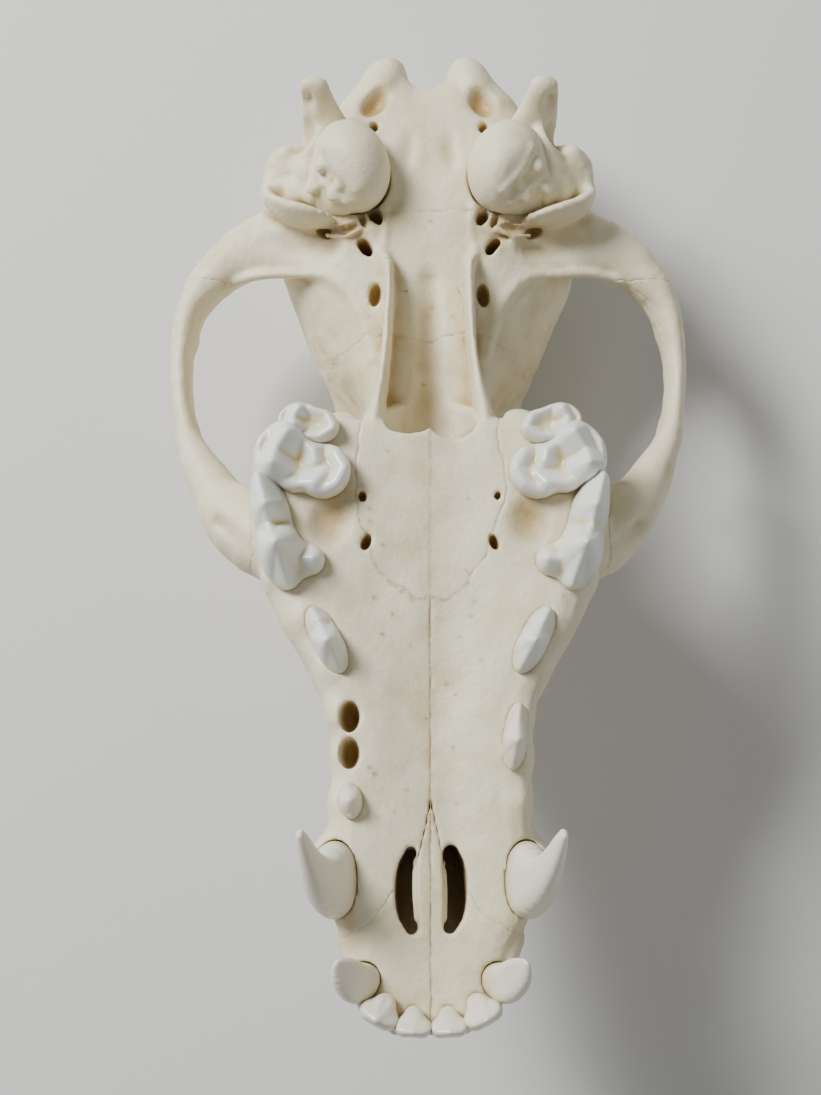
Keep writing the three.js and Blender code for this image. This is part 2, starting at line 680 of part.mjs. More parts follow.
const PALATINE_MIDDLE = 120;
const INNER = ARCH_PLANE - gap;

const keep = (outline, x0 = -INNER, x1 = INNER) => (part) => part.intersect(slab(outline, x0, x1));
const drop = (outline, x0 = -INNER, x1 = INNER) => (part) => part.subtract(slab(outline, x0, x1));
const grown = (outline, middle, dz) => outline.map(([y, z]) => [y + (y > middle ? SUTURE : -SUTURE), z + dz]);

function largest(part) {
  return part.decompose().reduce((best, one) => (one.volume() > best.volume() ? one : best));
}

function bone(...steps) {
  return largest(steps.reduce((part, step) => step(part), whole));
}

const outsideArchPlane = (side) => {
  const reach = side * ARCH_PLANE;
  const [x0, x1] = [reach, reach + side * FAR].sort((a, b) => a - b);
  return keep([[-LONG, FAR], [LONG, FAR], [LONG, -FAR], [-LONG, -FAR]], x0, x1);
};
const sideOf = (side) => (side < 0 ? [-INNER, -gap] : [gap, INNER]);
const { premaxillaMaxilla, maxillaFrontal, frontalBraincase, braincaseOccipital } = MEETINGS;
const spreadOf = (halfWidth) => [-halfWidth - SUTURE, halfWidth + SUTURE];
const nasalGap = drop(grown(NASAL_BED, NASAL_MIDDLE, SUTURE), ...spreadOf(NASAL_HALF_WIDTH));
const palatineGap = drop(grown(PALATINE, PALATINE_MIDDLE, -SUTURE), ...spreadOf(PALATINE_HALF_WIDTH));
const IVORY = { color: 0xe0dcc6, roughness: 0.55, metalness: 0 };

function node(name, part) {
  const mesh = part.getMesh();
  const cut = new THREE.BufferGeometry();
  cut.setAttribute('position', new THREE.BufferAttribute(new Float32Array(mesh.vertProperties), 3));
  cut.setIndex(new THREE.BufferAttribute(new Uint32Array(mesh.triVerts), 1));
  const clean = largest(solid(cut, SMALLEST_EDGE)).getMesh();
  const geometry = new THREE.BufferGeometry();
  geometry.setAttribute('position', new THREE.BufferAttribute(new Float32Array(clean.vertProperties), 3));
  geometry.setIndex(new THREE.BufferAttribute(new Uint32Array(clean.triVerts), 1));
  geometry.computeVertexNormals();
  const made = new THREE.Mesh(geometry, new THREE.MeshStandardMaterial(IVORY));
  made.name = name;
  return made;
}

const skull = new THREE.Group();
for (const [word, side] of [['left', -1], ['right', 1]]) {
  skull.add(
    node(`premaxilla_${word}`, bone(keep(ahead(premaxillaMaxilla), ...sideOf(side)), nasalGap)),
    node(
      `maxilla_${word}`,
      bone(keep(behind(premaxillaMaxilla), ...sideOf(side)), keep(ahead(maxillaFrontal)), nasalGap),
    ),
    node(`zygomatic_arch_${word}`, bone(outsideArchPlane(side))),
    node(`auditory_bulla_${word}`, earCapsule(side, 0)),
  );
}
skull.add(
  node('nasal_bones', bone(keep(NASAL_BED, -NASAL_HALF_WIDTH, NASAL_HALF_WIDTH))),
  node('frontal', bone(keep(behind(maxillaFrontal)), keep(ahead(frontalBraincase)), palatineGap, nasalGap)),
  node('palatine_pterygoid', bone(keep(PALATINE, -PALATINE_HALF_WIDTH, PALATINE_HALF_WIDTH))),
  node('braincase', bone(keep(behind(frontalBraincase)), keep(ahead(braincaseOccipital)), palatineGap)),
  node('occipital', bone(keep(behind(braincaseOccipital)))),
);

// Palate up: the skull tips back on its crown by REST_TILT, and its box stands on the origin.
skull.rotation.x = -REST_TILT;
skull.updateMatrixWorld(true);
const box = new THREE.Box3().setFromObject(skull, true);
skull.position.set(0, -(box.min.y + box.max.y) / 2, -box.min.z);

const part = new THREE.Group();
part.add(skull);
export default part;
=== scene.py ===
# %% [markdown]
# A cleaned coyote skull lies on its forehead and crown, with the palate and the upper teeth facing up. The
# CAD part gives the frame and the main solids. This script carves the bone itself: every bump, hole and
# seam is a named shape in the skull's own frame, in millimetres, and the shapes melt into each other the
# way grown bone does. A subdivided box model could do this too, but its loops would have to be routed by
# hand round every hole. A distance field lets holes, crests and walls be added and taken away one line at a
# time.

import math

import bpy
import numpy as np
import openvdb
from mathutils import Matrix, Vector


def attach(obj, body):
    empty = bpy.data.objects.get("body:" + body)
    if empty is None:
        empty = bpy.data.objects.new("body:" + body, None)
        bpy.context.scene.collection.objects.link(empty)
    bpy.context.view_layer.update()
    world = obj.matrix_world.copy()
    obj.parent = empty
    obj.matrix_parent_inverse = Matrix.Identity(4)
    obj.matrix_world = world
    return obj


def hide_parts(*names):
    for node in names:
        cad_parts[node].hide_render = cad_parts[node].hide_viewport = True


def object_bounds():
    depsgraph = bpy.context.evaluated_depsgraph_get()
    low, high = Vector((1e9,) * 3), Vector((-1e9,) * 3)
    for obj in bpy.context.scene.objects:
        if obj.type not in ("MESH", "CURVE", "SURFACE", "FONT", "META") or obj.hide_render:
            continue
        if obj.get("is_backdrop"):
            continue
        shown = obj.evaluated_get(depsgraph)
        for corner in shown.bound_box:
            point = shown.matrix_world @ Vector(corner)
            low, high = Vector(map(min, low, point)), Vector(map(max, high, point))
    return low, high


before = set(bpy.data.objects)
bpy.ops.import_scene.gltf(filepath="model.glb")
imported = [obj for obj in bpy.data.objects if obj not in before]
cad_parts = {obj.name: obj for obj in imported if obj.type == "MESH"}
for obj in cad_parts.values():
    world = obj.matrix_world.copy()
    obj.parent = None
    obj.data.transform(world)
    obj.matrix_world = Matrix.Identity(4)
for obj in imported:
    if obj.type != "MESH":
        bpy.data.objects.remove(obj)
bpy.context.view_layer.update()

# %% [markdown]
# The skull's own frame: x runs from the midline to the animal's right, y runs back from the front of the
# incisor sockets, and z is the height over the palate, so that the teeth point to +z. The skull is laid
# down by one turn about x, and then moved so that the three points it rests on touch the ground.

# %% Driving sizes
MM = 0.001  # in metres, the unit of the frame
REST_TILT = math.radians(5.04)
PLACE = np.array([0.0, -88.999, 63.253])
ARCH_SPAN = 98.0
PALATE_END = 103.0
CELL = 0.45
TOOTH_CELL = 0.25
LOW = np.array([0.0, -4.0, -59.0])
HIGH = np.array([52.0, 187.0, 2.5])


def to_world(points):
    """Skull millimetres to metres in the row frame."""
    c, s = math.cos(REST_TILT), math.sin(REST_TILT)
    x, y, z = points[:, 0], points[:, 1], points[:, 2]
    turned = np.stack([x, y * c + z * s, z * c - y * s], 1)
    return (turned + PLACE) * MM


print("cell", CELL, "mm; tilt", round(math.degrees(REST_TILT), 2), "degrees")

# %% [markdown]
# A distance field is a grid of numbers: negative inside the bone, positive outside, zero on its surface.
# Only the right half is carved, since a skull is nearly symmetric, and the left half is its mirror. Two
# fields join with a soft minimum, whose width sets the fillet between them, and one is cut from the other
# with a soft maximum.

# %% Field tools
AXES = [np.arange(low, high, CELL, dtype=np.float32) for low, high in zip(LOW, HIGH)]
X, Y, Z = AXES[0][:, None, None], AXES[1][None, :, None], AXES[2][None, None, :]
FAR = 9.0
bone = np.full([len(a) for a in AXES], FAR, np.float32)
print("field of", bone.size // 1000, "thousand cells")


def soft_min(a, b, width):
    """The nearer of two fields, with a fillet of that width where they meet."""
    h = np.maximum(width - np.abs(a - b), 0.0) / width
    return np.minimum(a, b) - h * h * width * 0.25


def window(low, high, margin, axes=AXES):
    """The slices of a grid that hold a box, with a margin round it."""
    cut = []
    for axis, lo, hi in zip(axes, low, high):
        cut.append(slice(np.searchsorted(axis, lo - margin), np.searchsorted(axis, hi + margin)))
    return tuple(cut)


def places(cut, axes=AXES):
    """The x, y and z of the cells in a window, ready to be combined."""
    x, y, z = (axis[part] for axis, part in zip(axes, cut))
    return x[:, None, None], y[None, :, None], z[None, None, :]


def add(shape, width=1.5):
    """Joins a shape to the bone with a fillet."""
    cut, values = shape
    bone[cut] = soft_min(bone[cut], values, width)


def carve(shape, width=1.0):
    """Cuts a shape out of the bone with a rounded rim."""
    cut, values = shape
    bone[cut] = -soft_min(-bone[cut], values, width)


# %% [markdown]
# Two kinds of shape do nearly all the work: the oval, for swellings and holes, and the rod, for ridges,
# walls and straps. Blender's metaballs melt together too, but they can't be cut with a crisp rim, and their
# surface can't be measured. These two give a true distance near their surface, so a fillet keeps its size
# on them.

# %% Ovals and rods
def round_distance(*pairs):
    """Distance to an ellipse or ellipsoid, from pairs of an offset along an axis and the radius there."""
    tiny = 1e-6
    k0 = np.sqrt(sum((offset / radius) ** 2 for offset, radius in pairs)) + tiny
    k1 = np.sqrt(sum((offset / radius**2) ** 2 for offset, radius in pairs)) + tiny
    return k0 * (k0 - 1) / k1


def oval(centre, radii, turn=0.0):
    """An ellipsoid, whose length is swung about z by turn."""
    reach = max(radii)
    margin = 5.0
    cut = window([c - reach for c in centre], [c + reach for c in centre], margin)
    x, y, z = (p - c for p, c in zip(places(cut), centre))
    ct, st = math.cos(turn), math.sin(turn)
    u, v = x * ct + y * st, y * ct - x * st
    return cut, round_distance((u, radii[0]), (v, radii[1]), (z, radii[2])).astype(np.float32)


def smooth_path(points, pieces):
    """A Catmull-Rom line through rows of numbers, resampled to that many pieces."""
    rows = np.array(points, float)
    rows = np.vstack([2 * rows[0] - rows[1], rows, 2 * rows[-1] - rows[-2]])
    spans = len(points) - 1
    made = []
    for t in np.linspace(0, spans, pieces + 1):
        i = min(int(t), spans - 1)
        u = t - i
        a, b, c, d = rows[i : i + 4]
        bend = 2 * a - 5 * b + 4 * c - d
        twist = 3 * b - a - 3 * c + d
        made.append(0.5 * (2 * b + (c - a) * u + bend * u**2 + twist * u**3))
    return np.array(made)


def rod(points, pieces=10, up=(0, 0, 1), axes=AXES):
    """A rod along a smooth path of (x, y, z, half width, half height), the width being level with `up`."""
    path = smooth_path(points, pieces)
    reach = path[:, 3:].max()
    margin = 4.0
    cut = window(path[:, :3].min(0) - reach, path[:, :3].max(0) + reach, margin, axes)
    x, y, z = places(cut, axes)
    nearest = None
    for p, q in zip(path[:-1], path[1:]):
        along = q[:3] - p[:3]
        length = np.linalg.norm(along)
        along = along / length
        level = np.cross(along, up)
        level = level / np.linalg.norm(level)
        tall = np.cross(level, along)
        dx, dy, dz = x - p[0], y - p[1], z - p[2]
        run = dx * along[0] + dy * along[1] + dz * along[2]
        t = np.clip(run / length, 0, 1)
        a, b = p[3] + (q[3] - p[3]) * t, p[4] + (q[4] - p[4]) * t
        side = dx * level[0] + dy * level[1] + dz * level[2]
        rise = dx * tall[0] + dy * tall[1] + dz * tall[2]
        over = run - t * length
        d = round_distance((side, a), (rise, b), (over, np.minimum(a, b))).astype(np.float32)
        nearest = d if nearest is None else np.minimum(nearest, d)
    return cut, nearest


print("an oval of 5 mm fills", int((oval((20, 90, -20), (5, 5, 5))[1] < 0).sum()), "cells")

# %% [markdown]
# The core of the skull is one long body from the incisors to the nape. Each station gives half of the
# closed outline across the skull: the roof at the midline, the brow, the waist of the side wall, the cheek,
# the outer edge of the underside, and the underside at the midline. They are the CAD part's own stations.
# The muzzle is a rounded box, the middle an hourglass between the eye sockets, and the braincase an egg. A
# mesh skinned over these outlines would be the core too, but a field lets every later shape melt into it.

# %% Stations of the core
STATIONS = np.array(
    [
        # y, roof, brow x z, waist x z, cheek x z, edge x z, floor
        (-0.2, -7, 3.2, -6.2, 5.2, -4.6, 6.2, -3, 5.2, -1, -1),
        (4, -12, 5, -11, 8.2, -8, 10, -4.6, 8.6, -0.8, -0.8),
        (8, -18.5, 6.4, -17, 10.6, -11, 12.2, -5.5, 10.4, -0.7, -0.7),
        (13, -23.6, 7.6, -22, 12, -14, 14, -6, 12, -0.5, -0.8),
        (20, -25, 8.4, -23.6, 13.8, -16, 17, -7, 15, -0.5, -1),
        (27, -26, 8.6, -24.8, 14.2, -18, 18, -8, 16, -0.4, -1),
        (38, -27.6, 8.6, -26.4, 13.8, -19.5, 16.9, -8.5, 15.2, -0.4, -1),
        (50, -29.8, 9.2, -28.6, 14.2, -21.5, 16.9, -9.5, 15.6, -0.4, -1),
        (60, -32.6, 10.6, -31.4, 16.6, -24, 20.8, -11, 19.4, -0.4, -1.2),
        (70, -36.8, 13, -35.8, 20.6, -28, 26.2, -13, 24.8, -0.5, -1.4),
        (78, -41.2, 15.5, -40.6, 22.8, -32, 29.2, -13, 27.4, -0.6, -1.6),
        (84, -45.2, 17, -44.6, 19, -33, 30, -11, 28.4, -0.8, -1.6),
        (92, -50.4, 18.2, -49, 12, -29, 29.6, -8.4, 28.4, -1, -1.4),
        (99, -53.8, 21.2, -50.4, 10.8, -28, 26, -8, 25.6, -1.2, -1),
        (103, -54.2, 22.2, -49.4, 10.8, -28, 23.2, -8, 23, -1.4, -1),
        (106.5, -54, 20.4, -48.6, 11, -28.4, 12.6, -10, 11.6, -5, -5),
        (112, -52.8, 17.8, -47, 13.2, -33, 11.4, -20, 9.2, -14.8, -14.8),
        (120, -50.9, 17.4, -45.6, 19.4, -36, 15.6, -21, 9.4, -14.8, -14.6),
        (130, -49.9, 17.6, -45.6, 24, -34.5, 20.6, -20.5, 12, -14, -14),
        (140, -49.1, 18.4, -44.4, 27.6, -32.5, 25, -19, 15.5, -13.2, -13),
        (150, -47.7, 18.4, -42.4, 28.8, -31, 26.6, -18.5, 15.5, -12.6, -12.4),
        (158, -45.6, 16.4, -40, 27.4, -30, 25.4, -18, 14.6, -12.6, -12.4),
        (166, -42.4, 12.8, -36.8, 22.8, -29, 21, -18.4, 13, -13.4, -13),
        (172, -39.4, 8, -35.6, 15.5, -29.5, 14.6, -20, 9.5, -16, -15.4),
        (175.4, -37, 4.4, -34.4, 9.6, -29.4, 9.4, -22, 6.4, -18.4, -17.6),
    ],
    float,
)


def between_stations(y):
    """Every value of the stations at y, on a smooth line that never swings past a station."""
    at = STATIONS[:, 0]
    i = int(np.clip(np.searchsorted(at, y) - 1, 0, len(at) - 2))
    rise = np.diff(STATIONS, axis=0) / np.diff(at)[:, None]
    both = np.maximum(rise[:-1] * rise[1:], 0)
    slope = np.vstack([rise[:1], 2 * both / np.where(both > 0, rise[:-1] + rise[1:], 1), rise[-1:]])
    span = at[i + 1] - at[i]
    t = np.clip((y - at[i]) / span, 0, 1)
    early = (1 + 2 * t) * (1 - t) ** 2
    swing = t * (1 - t) ** 2 * span * slope[i] + t * t * (t - 1) * span * slope[i + 1]
    return early * STATIONS[i] + (1 - early) * STATIONS[i + 1] + swing


def outline_at(y, per_span=5):
    """The closed outline across the skull at y, as (x, z) points."""
    v = between_stations(y)
    right = [(v[k], v[k + 1]) for k in (2, 4, 6, 8)]
    loop = [(0, v[1]), *right, (0, v[10]), *[(-x, z) for x, z in reversed(right)]]
    p = np.array(loop)
    t = np.linspace(0, 1, per_span, endpoint=False)[:, None]
    made = []
    for i in range(len(p)):
        a, b, c, d = p[i - 1], p[i], p[(i + 1) % len(p)], p[(i + 2) % len(p)]
        knot = [np.linalg.norm(q - r) ** 0.5 + 1e-6 for q, r in ((b, a), (c, b), (d, c))]
        m1 = (c - b) + knot[1] * ((b - a) / knot[0] - (c - a) / (knot[0] + knot[1]))
        m2 = (c - b) + knot[1] * ((d - c) / knot[2] - (d - b) / (knot[1] + knot[2]))
        cubic = (2 * t**3 - 3 * t**2 + 1) * b + (t**3 - 2 * t**2 + t) * m1
        made.append(cubic + (3 * t**2 - 2 * t**3) * c + (t**3 - t**2) * m2)
    return np.vstack(made)


def flat_distance(loop, x, z):
    """Signed distance in the plane to a closed outline, on a grid of x and z."""
    px, pz = x[:, None], z[None, :]
    best = np.full((len(x), len(z)), 1e9, np.float32)
    inside = np.zeros(best.shape, bool)
    for a, b in zip(loop, np.roll(loop, -1, axis=0)):
        e = b - a
        t = np.clip(((px - a[0]) * e[0] + (pz - a[1]) * e[1]) / (e @ e + 1e-9), 0, 1)
        best = np.minimum(best, (px - a[0] - t * e[0]) ** 2 + (pz - a[1] - t * e[1]) ** 2)
        if a[1] != b[1]:
            crosses = (a[1] > pz) != (b[1] > pz)
            inside ^= crosses & (px < a[0] + (pz - a[1]) * e[0] / e[1])
    return np.where(inside, -1, 1) * np.sqrt(best)


# %% [markdown]
# The stations become a solid field plane by plane. It is smooth, so every second grid line is enough.

# %% The core
def carve_core():
    """The core on every second grid line, with the lines between filled by averaging."""
    coarse_x, coarse_y, coarse_z = (axis[::2] for axis in AXES)
    first, last = STATIONS[0, 0], STATIONS[-1, 0]
    field = np.empty((len(coarse_x), len(coarse_y), len(coarse_z)), np.float32)
    for j, y in enumerate(coarse_y):
        plane = flat_distance(outline_at(np.clip(y, first, last)), coarse_x, coarse_z)
        field[:, j, :] = np.maximum(plane, max(first - y, y - last))
    for axis, full in enumerate(AXES):
        n = len(full)
        low = np.arange(n) // 2
        high = np.minimum(low + np.arange(n) % 2, field.shape[axis] - 1)
        field = (np.take(field, low, axis) + np.take(field, high, axis)) / 2
    return field


bone[:] = carve_core()
core = bone.copy()
print("core: inside share", round(float((bone < 0).mean()), 3))

# %% [markdown]
# Brows and eye sockets. The forehead swells on each side of a shallow dip, and a spur stands out behind
# each eye. The sockets could be modelled as rims pulled out of a mesh. They are bitten out of the side as
# ovals, since that leaves the sharp front rim that a real one has.

# %% Brows and eye sockets
BROW_SPUR = [
    (15, 99, -47.5, 6, 4.4),
    (20.5, 101.5, -47.6, 4.4, 3.4),
    (24.4, 104, -46, 2.6, 2.1),
    (26.6, 106, -44, 0.8, 0.8),
]
FOREHEAD_SWELL = (10.5, 97.5, -48.2), (9, 15, 6.7)
EYE_SOCKET = (29.5, 91.5, -29), (15.6, 13, 13.2), -0.2
add(oval(*FOREHEAD_SWELL), 2.5)
add(rod(BROW_SPUR), 2)
carve(oval(*EYE_SOCKET), 1.6)
print("brow and socket carved")

# %% [markdown]
# The rear: the crest along the crown, the flange that runs down from the nape, the knuckles that met the
# first neck bone, and the finger of bone behind each ear capsule. The thin ones are rods that are taller
# than wide, and each knuckle is three ovals, as no single oval has both its steep inner side and its long
# outer slope.

# %% Crest and nape
CREST = [
    (0, 108, -48, 1.2, 4.4),
    (0, 124, -47.4, 1.3, 4.6),
    (0, 142, -46.4, 1.3, 4.8),
    (0, 158, -45, 1.5, 5),
    (0, 169, -43.6, 2.2, 5.2),
    (0, 176, -43, 2.4, 4.8),
    (0, 178.2, -43.2, 1.3, 3),
]
NAPE_FLANGE = [
    (0, 173.4, -43.6, 3.6, 3.2),
    (8.4, 170.6, -41.4, 3.4, 2),
    (16.4, 166.4, -36.4, 3, 1.7),
    (23, 161.8, -28.8, 2.8, 1.8),
    (26.8, 158.4, -21, 3, 2.4),
    (27.4, 157.4, -15.6, 2.8, 2.6),
]
NAPE_FINGER = [
    (17.2, 161, -18, 6, 4),
    (19.2, 163.8, -12.8, 4.9, 2.7),
    (20.5, 166.6, -8, 3.5, 1.9),
    (21, 168.2, -5.2, 2.8, 1.8),
    (21.1, 168.9, -4.2, 2.5, 1.6),
]
KNUCKLE_TOP = (8.6, 174.4, -22), (5, 7.6, 8), 0.35
KNUCKLE_OUTER = (12.8, 169.6, -24), (5, 7.8, 9), 0.5
KNUCKLE_INNER = (5.4, 172.2, -20), (4, 5, 5), -0.3
FINGER_DIMPLE = (22.8, 164.6, -5.6), (1.1, 3.4, 2.2), 0.2
BACKWARDS = (0, 1, 0)
add(rod(CREST, 14), 2.5)
add(rod(NAPE_FLANGE, 14, BACKWARDS), 2.2)
add(oval(*KNUCKLE_TOP), 1.2)
add(oval(*KNUCKLE_OUTER), 1.4)
add(oval(*KNUCKLE_INNER), 1.2)
add(rod(NAPE_FINGER, 10, BACKWARDS), 2)
carve(oval(*FINGER_DIMPLE), 1.4)
print("crest and nape added")

# %% [markdown]
# Beside and behind the ear capsule the bone is lumpy, as neck and jaw muscles held on there. A few large
# ovals give the mass, and small ones break up its surface.

# %% Bumps behind the ear
SHARP_LUMPS = [(26.8, 159, -13.4, 2), (29.2, 155.6, -15.4, 1.8), (22.2, 158.6, -11.6, 1.8)]
BLUNT_LUMPS = [
    (21.6, 160.2, -11.4, 3.4),
    (22.6, 155.4, -12, 2.6),
    (21.4, 151.4, -12.6, 2.2),
    (24.8, 152.4, -13.6, 2.2),
]
MAIN_BUMP = (25.4, 157.4, -17.4), (5.2, 4.6, 5.6), 0.3
OUTER_BUMP = (28, 153.4, -18.6), (3.6, 3.2, 5), -0.3
INNER_BUMP = (23.6, 155.8, -13.6), (3.4, 2.4, 2.2), 0.5
add(oval(*MAIN_BUMP), 2)
add(oval(*OUTER_BUMP), 1.4)
add(oval(*INNER_BUMP), 1.2)
for x, y, z, size in SHARP_LUMPS:
    add(oval((x, y, z), (size, size * 0.8, size)), 0.9)
for x, y, z, size in BLUNT_LUMPS:
    add(oval((x, y, z), (size, size * 1.2, size)), 1.4)
print("rough lumps behind the ear added")

# %% [markdown]
# The jaw joint and the cheek arch. The joint is a smooth trough across the skull with a curved lip behind
# it and a low crest before it. The arch is a tall thin strap that bows out from the joint, carries a small
# spur behind the eye, and comes back to the root beside the first molar, where a shallow groove marks it.

# %% Jaw joint and cheek arch
OUT = ARCH_SPAN / 2
ARCH = [
    (17, 143.4, -20, 6.4, 4.6),
    (25, 144, -20.4, 6.6, 4.4),
    (32, 143.6, -21.4, 6, 4.3),
    (38.6, 140.2, -22.8, 4.6, 4.8),
    (OUT - 5, 134.4, -24.8, 3.2, 5.4),
    (OUT - 2.8, 127.4, -26, 2.5, 5.5),
    (OUT - 2.2, 119.6, -26.2, 2.2, 5.4),
    (OUT - 3, 112, -25, 2.2, 5.4),
    (OUT - 5, 104.6, -22.4, 2.6, 5.8),
    (OUT - 8.8, 97.2, -18.8, 4, 6.4),
    (OUT - 13, 90.8, -15.6, 5.4, 7),
    (OUT - 18, 86, -13.4, 6.4, 7.6),
    (OUT - 24, 83, -12.4, 6.6, 7.6),
]
EYE_SPUR = [
    (OUT - 3.8, 107, -24, 2, 4),
    (OUT - 3.8, 108.6, -29.5, 1.5, 3),
    (OUT - 4.2, 109.6, -33, 0.9, 1.2),
]
ARCH_GROOVE = [
    (OUT - 11.2, 87.4, -8.2, 0.9, 0.9),
    (OUT - 14.8, 83.4, -5.9, 1.2, 1),
    (OUT - 18.4, 78.4, -4.8, 0.8, 0.8),
]
JOINT_LIP = [
    (18.8, 145.8, -15.6, 1, 1.6),
    (21, 145.9, -12.6, 1.4, 4.2),
    (24.2, 146.6, -12, 1.6, 5.4),
    (27.2, 148, -13.4, 1.5, 5),
    (29.4, 150.2, -15.6, 1.2, 4),
    (30, 153, -17.4, 1, 3),
]
JOINT_CREST = [
    (36, 136.6, -20.4, 0.5, 0.6),
    (31, 137.4, -18.6, 1, 1.2),
    (24, 136.8, -17, 1, 1.2),
    (18.6, 136, -15.7, 0.9, 1.1),
    (14.6, 132.4, -15, 0.9, 1),
    (12, 127, -15, 0.9, 1),
    (10.4, 120, -15.4, 0.8, 1),
]
ARCH_FOOT = (OUT - 15.4, 89.6, -12.6), (6, 5.6, 5.4)
JOINT_TROUGH = (26, 142, -13.4), (9.4, 4, 3.8), 0.12
add(rod(ARCH, 28), 2)
add(oval(*ARCH_FOOT), 2)
carve(rod(ARCH_GROOVE, 8), 2)
add(rod(EYE_SPUR, 6, BACKWARDS), 1.6)
carve(oval(*JOINT_TROUGH), 1.6)
add(rod(JOINT_LIP, 20), 1.2)
add(rod(JOINT_CREST, 12), 1.6)
print("arch added")

# %% [markdown]
# The roots of the teeth swell the side of the upper jaw. The canine's root is the longest: it runs back and
# up inside the snout, and its bulge shows from the side. The rest are short ribs over each root, with a
# shelf beside the molar and a thick rim that holds the incisors. Wide fillets keep them soft, as under a
# thin skin.

# %% Root bulges
CANINE_ROOT = [
    (17.4, 25.6, -3, 4.6, 5.4),
    (17, 29, -9, 3.2, 4.6),
    (15, 34, -15, 2.4, 3.6),
    (13, 40, -20, 1.4, 2.4),
]
INCISOR_RIM = [
    (0, 1.8, -3, 2.2, 2.2),
    (5.6, 2.6, -3, 2.4, 2.3),
    (10, 5.6, -3.2, 2.6, 2.5),
    (14, 15, -4.6, 1.8, 2.6),
]
ROOT_RIBS = [(15, 38), (15, 46), (15.4, 52.4), (17.6, 60.6), (21.6, 69), (27.2, 77), (28.8, 88)]
RIB_RADII = (1.6, 2.1, 5.4)
MOLAR_SHELF = (27, 96.5, -4.8), (4.2, 6.5, 4.4)
add(rod(CANINE_ROOT, 10), 2.4)
for x, y in ROOT_RIBS:
    add(oval((x, y, -RIB_RADII[2]), RIB_RADII), 3)
add(oval(*MOLAR_SHELF), 2)
add(rod(INCISOR_RIM, 8), 1)
print("root bulges added")

# %% [markdown]
# The throat passage behind the palate: two thin walls stand on the base of the braincase, and the passage
# between them runs forward under the palate, towards the nose. The walls are added before the passage is
# cut, so that it cleans their inner faces, and the rear edge of the palate gets its two scallops last.

# %% Throat passage
THROAT_WALL = [
    (10.6, 99, -7, 2.4, 6.2),
    (9.6, 106.4, -8, 1.5, 7),
    (8.4, 114, -9.4, 1.05, 6.8),
    (7.7, 122, -11, 0.9, 6.6),
    (7.4, 129, -12, 0.9, 6.4),
    (7.4, 134.6, -12.4, 0.95, 4.6),
    (7.9, 137.8, -13.4, 1.1, 2.4),
    (9.4, 141, -13.6, 0.9, 1),
]
PALATE_CORNER = (16, 102.6, -4.6), (4.6, 4.6, 4.2)
NOTCH_BY_THE_WALL = (12.5, 108.4, -4), (1.2, 3.6, 9)
PALATE_SCALLOP = (4, PALATE_END + 1.2, -2), (4.2, 2.5, 6)
add(oval(*PALATE_CORNER), 1)
add(rod(THROAT_WALL, 12), 0.9)
carve(oval(*NOTCH_BY_THE_WALL), 0.6)


def tunnel(stations):
    """A passage along y with oval sections, from rows of (y, half width, lowest z, highest z)."""
    rows = np.array(stations, float)
    margin = 4.0
    most = rows[:, 1].max()
    low, high = (-most, rows[0, 0], rows[:, 2].min()), (most, rows[-1, 0], rows[:, 3].max())
    cut = window(low, high, margin)
    x, y, z = places(cut)
    wide, lowest, highest = (np.interp(y, rows[:, 0], rows[:, k]) for k in (1, 2, 3))
    tall, rise = (highest - lowest) / 2, z - (highest + lowest) / 2
    ends = np.maximum(rows[0, 0] - y, y - rows[-1, 0])
    return cut, np.maximum(round_distance((x, wide), (rise, tall)), ends).astype(np.float32)


THROAT = [
    (86, 4, -11, -6),
    (92, 6, -12.8, -5),
    (PALATE_END, 7.6, -14.4, -4),
    (PALATE_END + 1.6, 8, -15, 12),
    (112, 7.6, -15.8, 14),
    (128, 6.5, -15.4, 14),
    (135, 6.3, -14.4, 14),
    (140, 5.4, -12, 14),
]
carve(tunnel(THROAT), 0.6)
carve(oval(*PALATE_SCALLOP), 0.5)
print("throat passage carved")

# %% [markdown]
# The nose opens at the front and the canal for the spine at the rear, with the notch between the knuckles.
# Behind the incisors a pair of long slots goes through the palate, each with a low ledge on its inner side.
# They are real openings, cut deep, because light dies in them in a way that a dark patch wouldn't give.

# %% Nose, nape and palate slots
NOSE = [(-4, 6.4, -30, -4.6), (4, 7, -28, -5), (13, 8, -21.6, -5), (24, 8, -22, -4), (34, 5, -21, -7)]
NAPE = [
    (150, 4, -33, -24),
    (158, 8.6, -35, -20.6),
    (166, 8.4, -34.6, -20.6),
    (174, 7.8, -34, -20.4),
    (188, 9, -35.4, -18.6),
]
SLOT = [
    (3.2, 17, -3, 1.1, 8),
    (3.9, 19.6, -3, 1.8, 8),
    (4.1, 23.2, -3, 1.95, 8),
    (3.9, 26.8, -3, 1.8, 8),
    (3.4, 29.4, -3, 1.1, 8),
]
SLOT_LEDGE = [(2.3, 18.5, -3.4, 0.5, 0.7), (2.2, 24, -3.2, 0.7, 0.8), (2.4, 28, -3.6, 0.5, 0.7)]
KNUCKLE_NOTCH = (0, 180.6, -18), (3.6, 6, 10)
carve(tunnel(NOSE), 0.8)
carve(tunnel(NAPE), 1)
carve(oval(*KNUCKLE_NOTCH), 1.6)
carve(rod(SLOT, 10), 0.4)
add(rod(SLOT_LEDGE, 6), 0.8)
print("openings carved")

# %% [markdown]
# Holes let nerves and vessels through, each in its own place on every skull: two pairs in the palate, the
# torn hole and the oval hole before the ear capsule, the pit inside the jaw joint, the short canal at the
# root of the throat wall, the small hole by the knuckle, and the large one before the eye socket. A few
# thin splinters cross the broken ground round the torn hole.

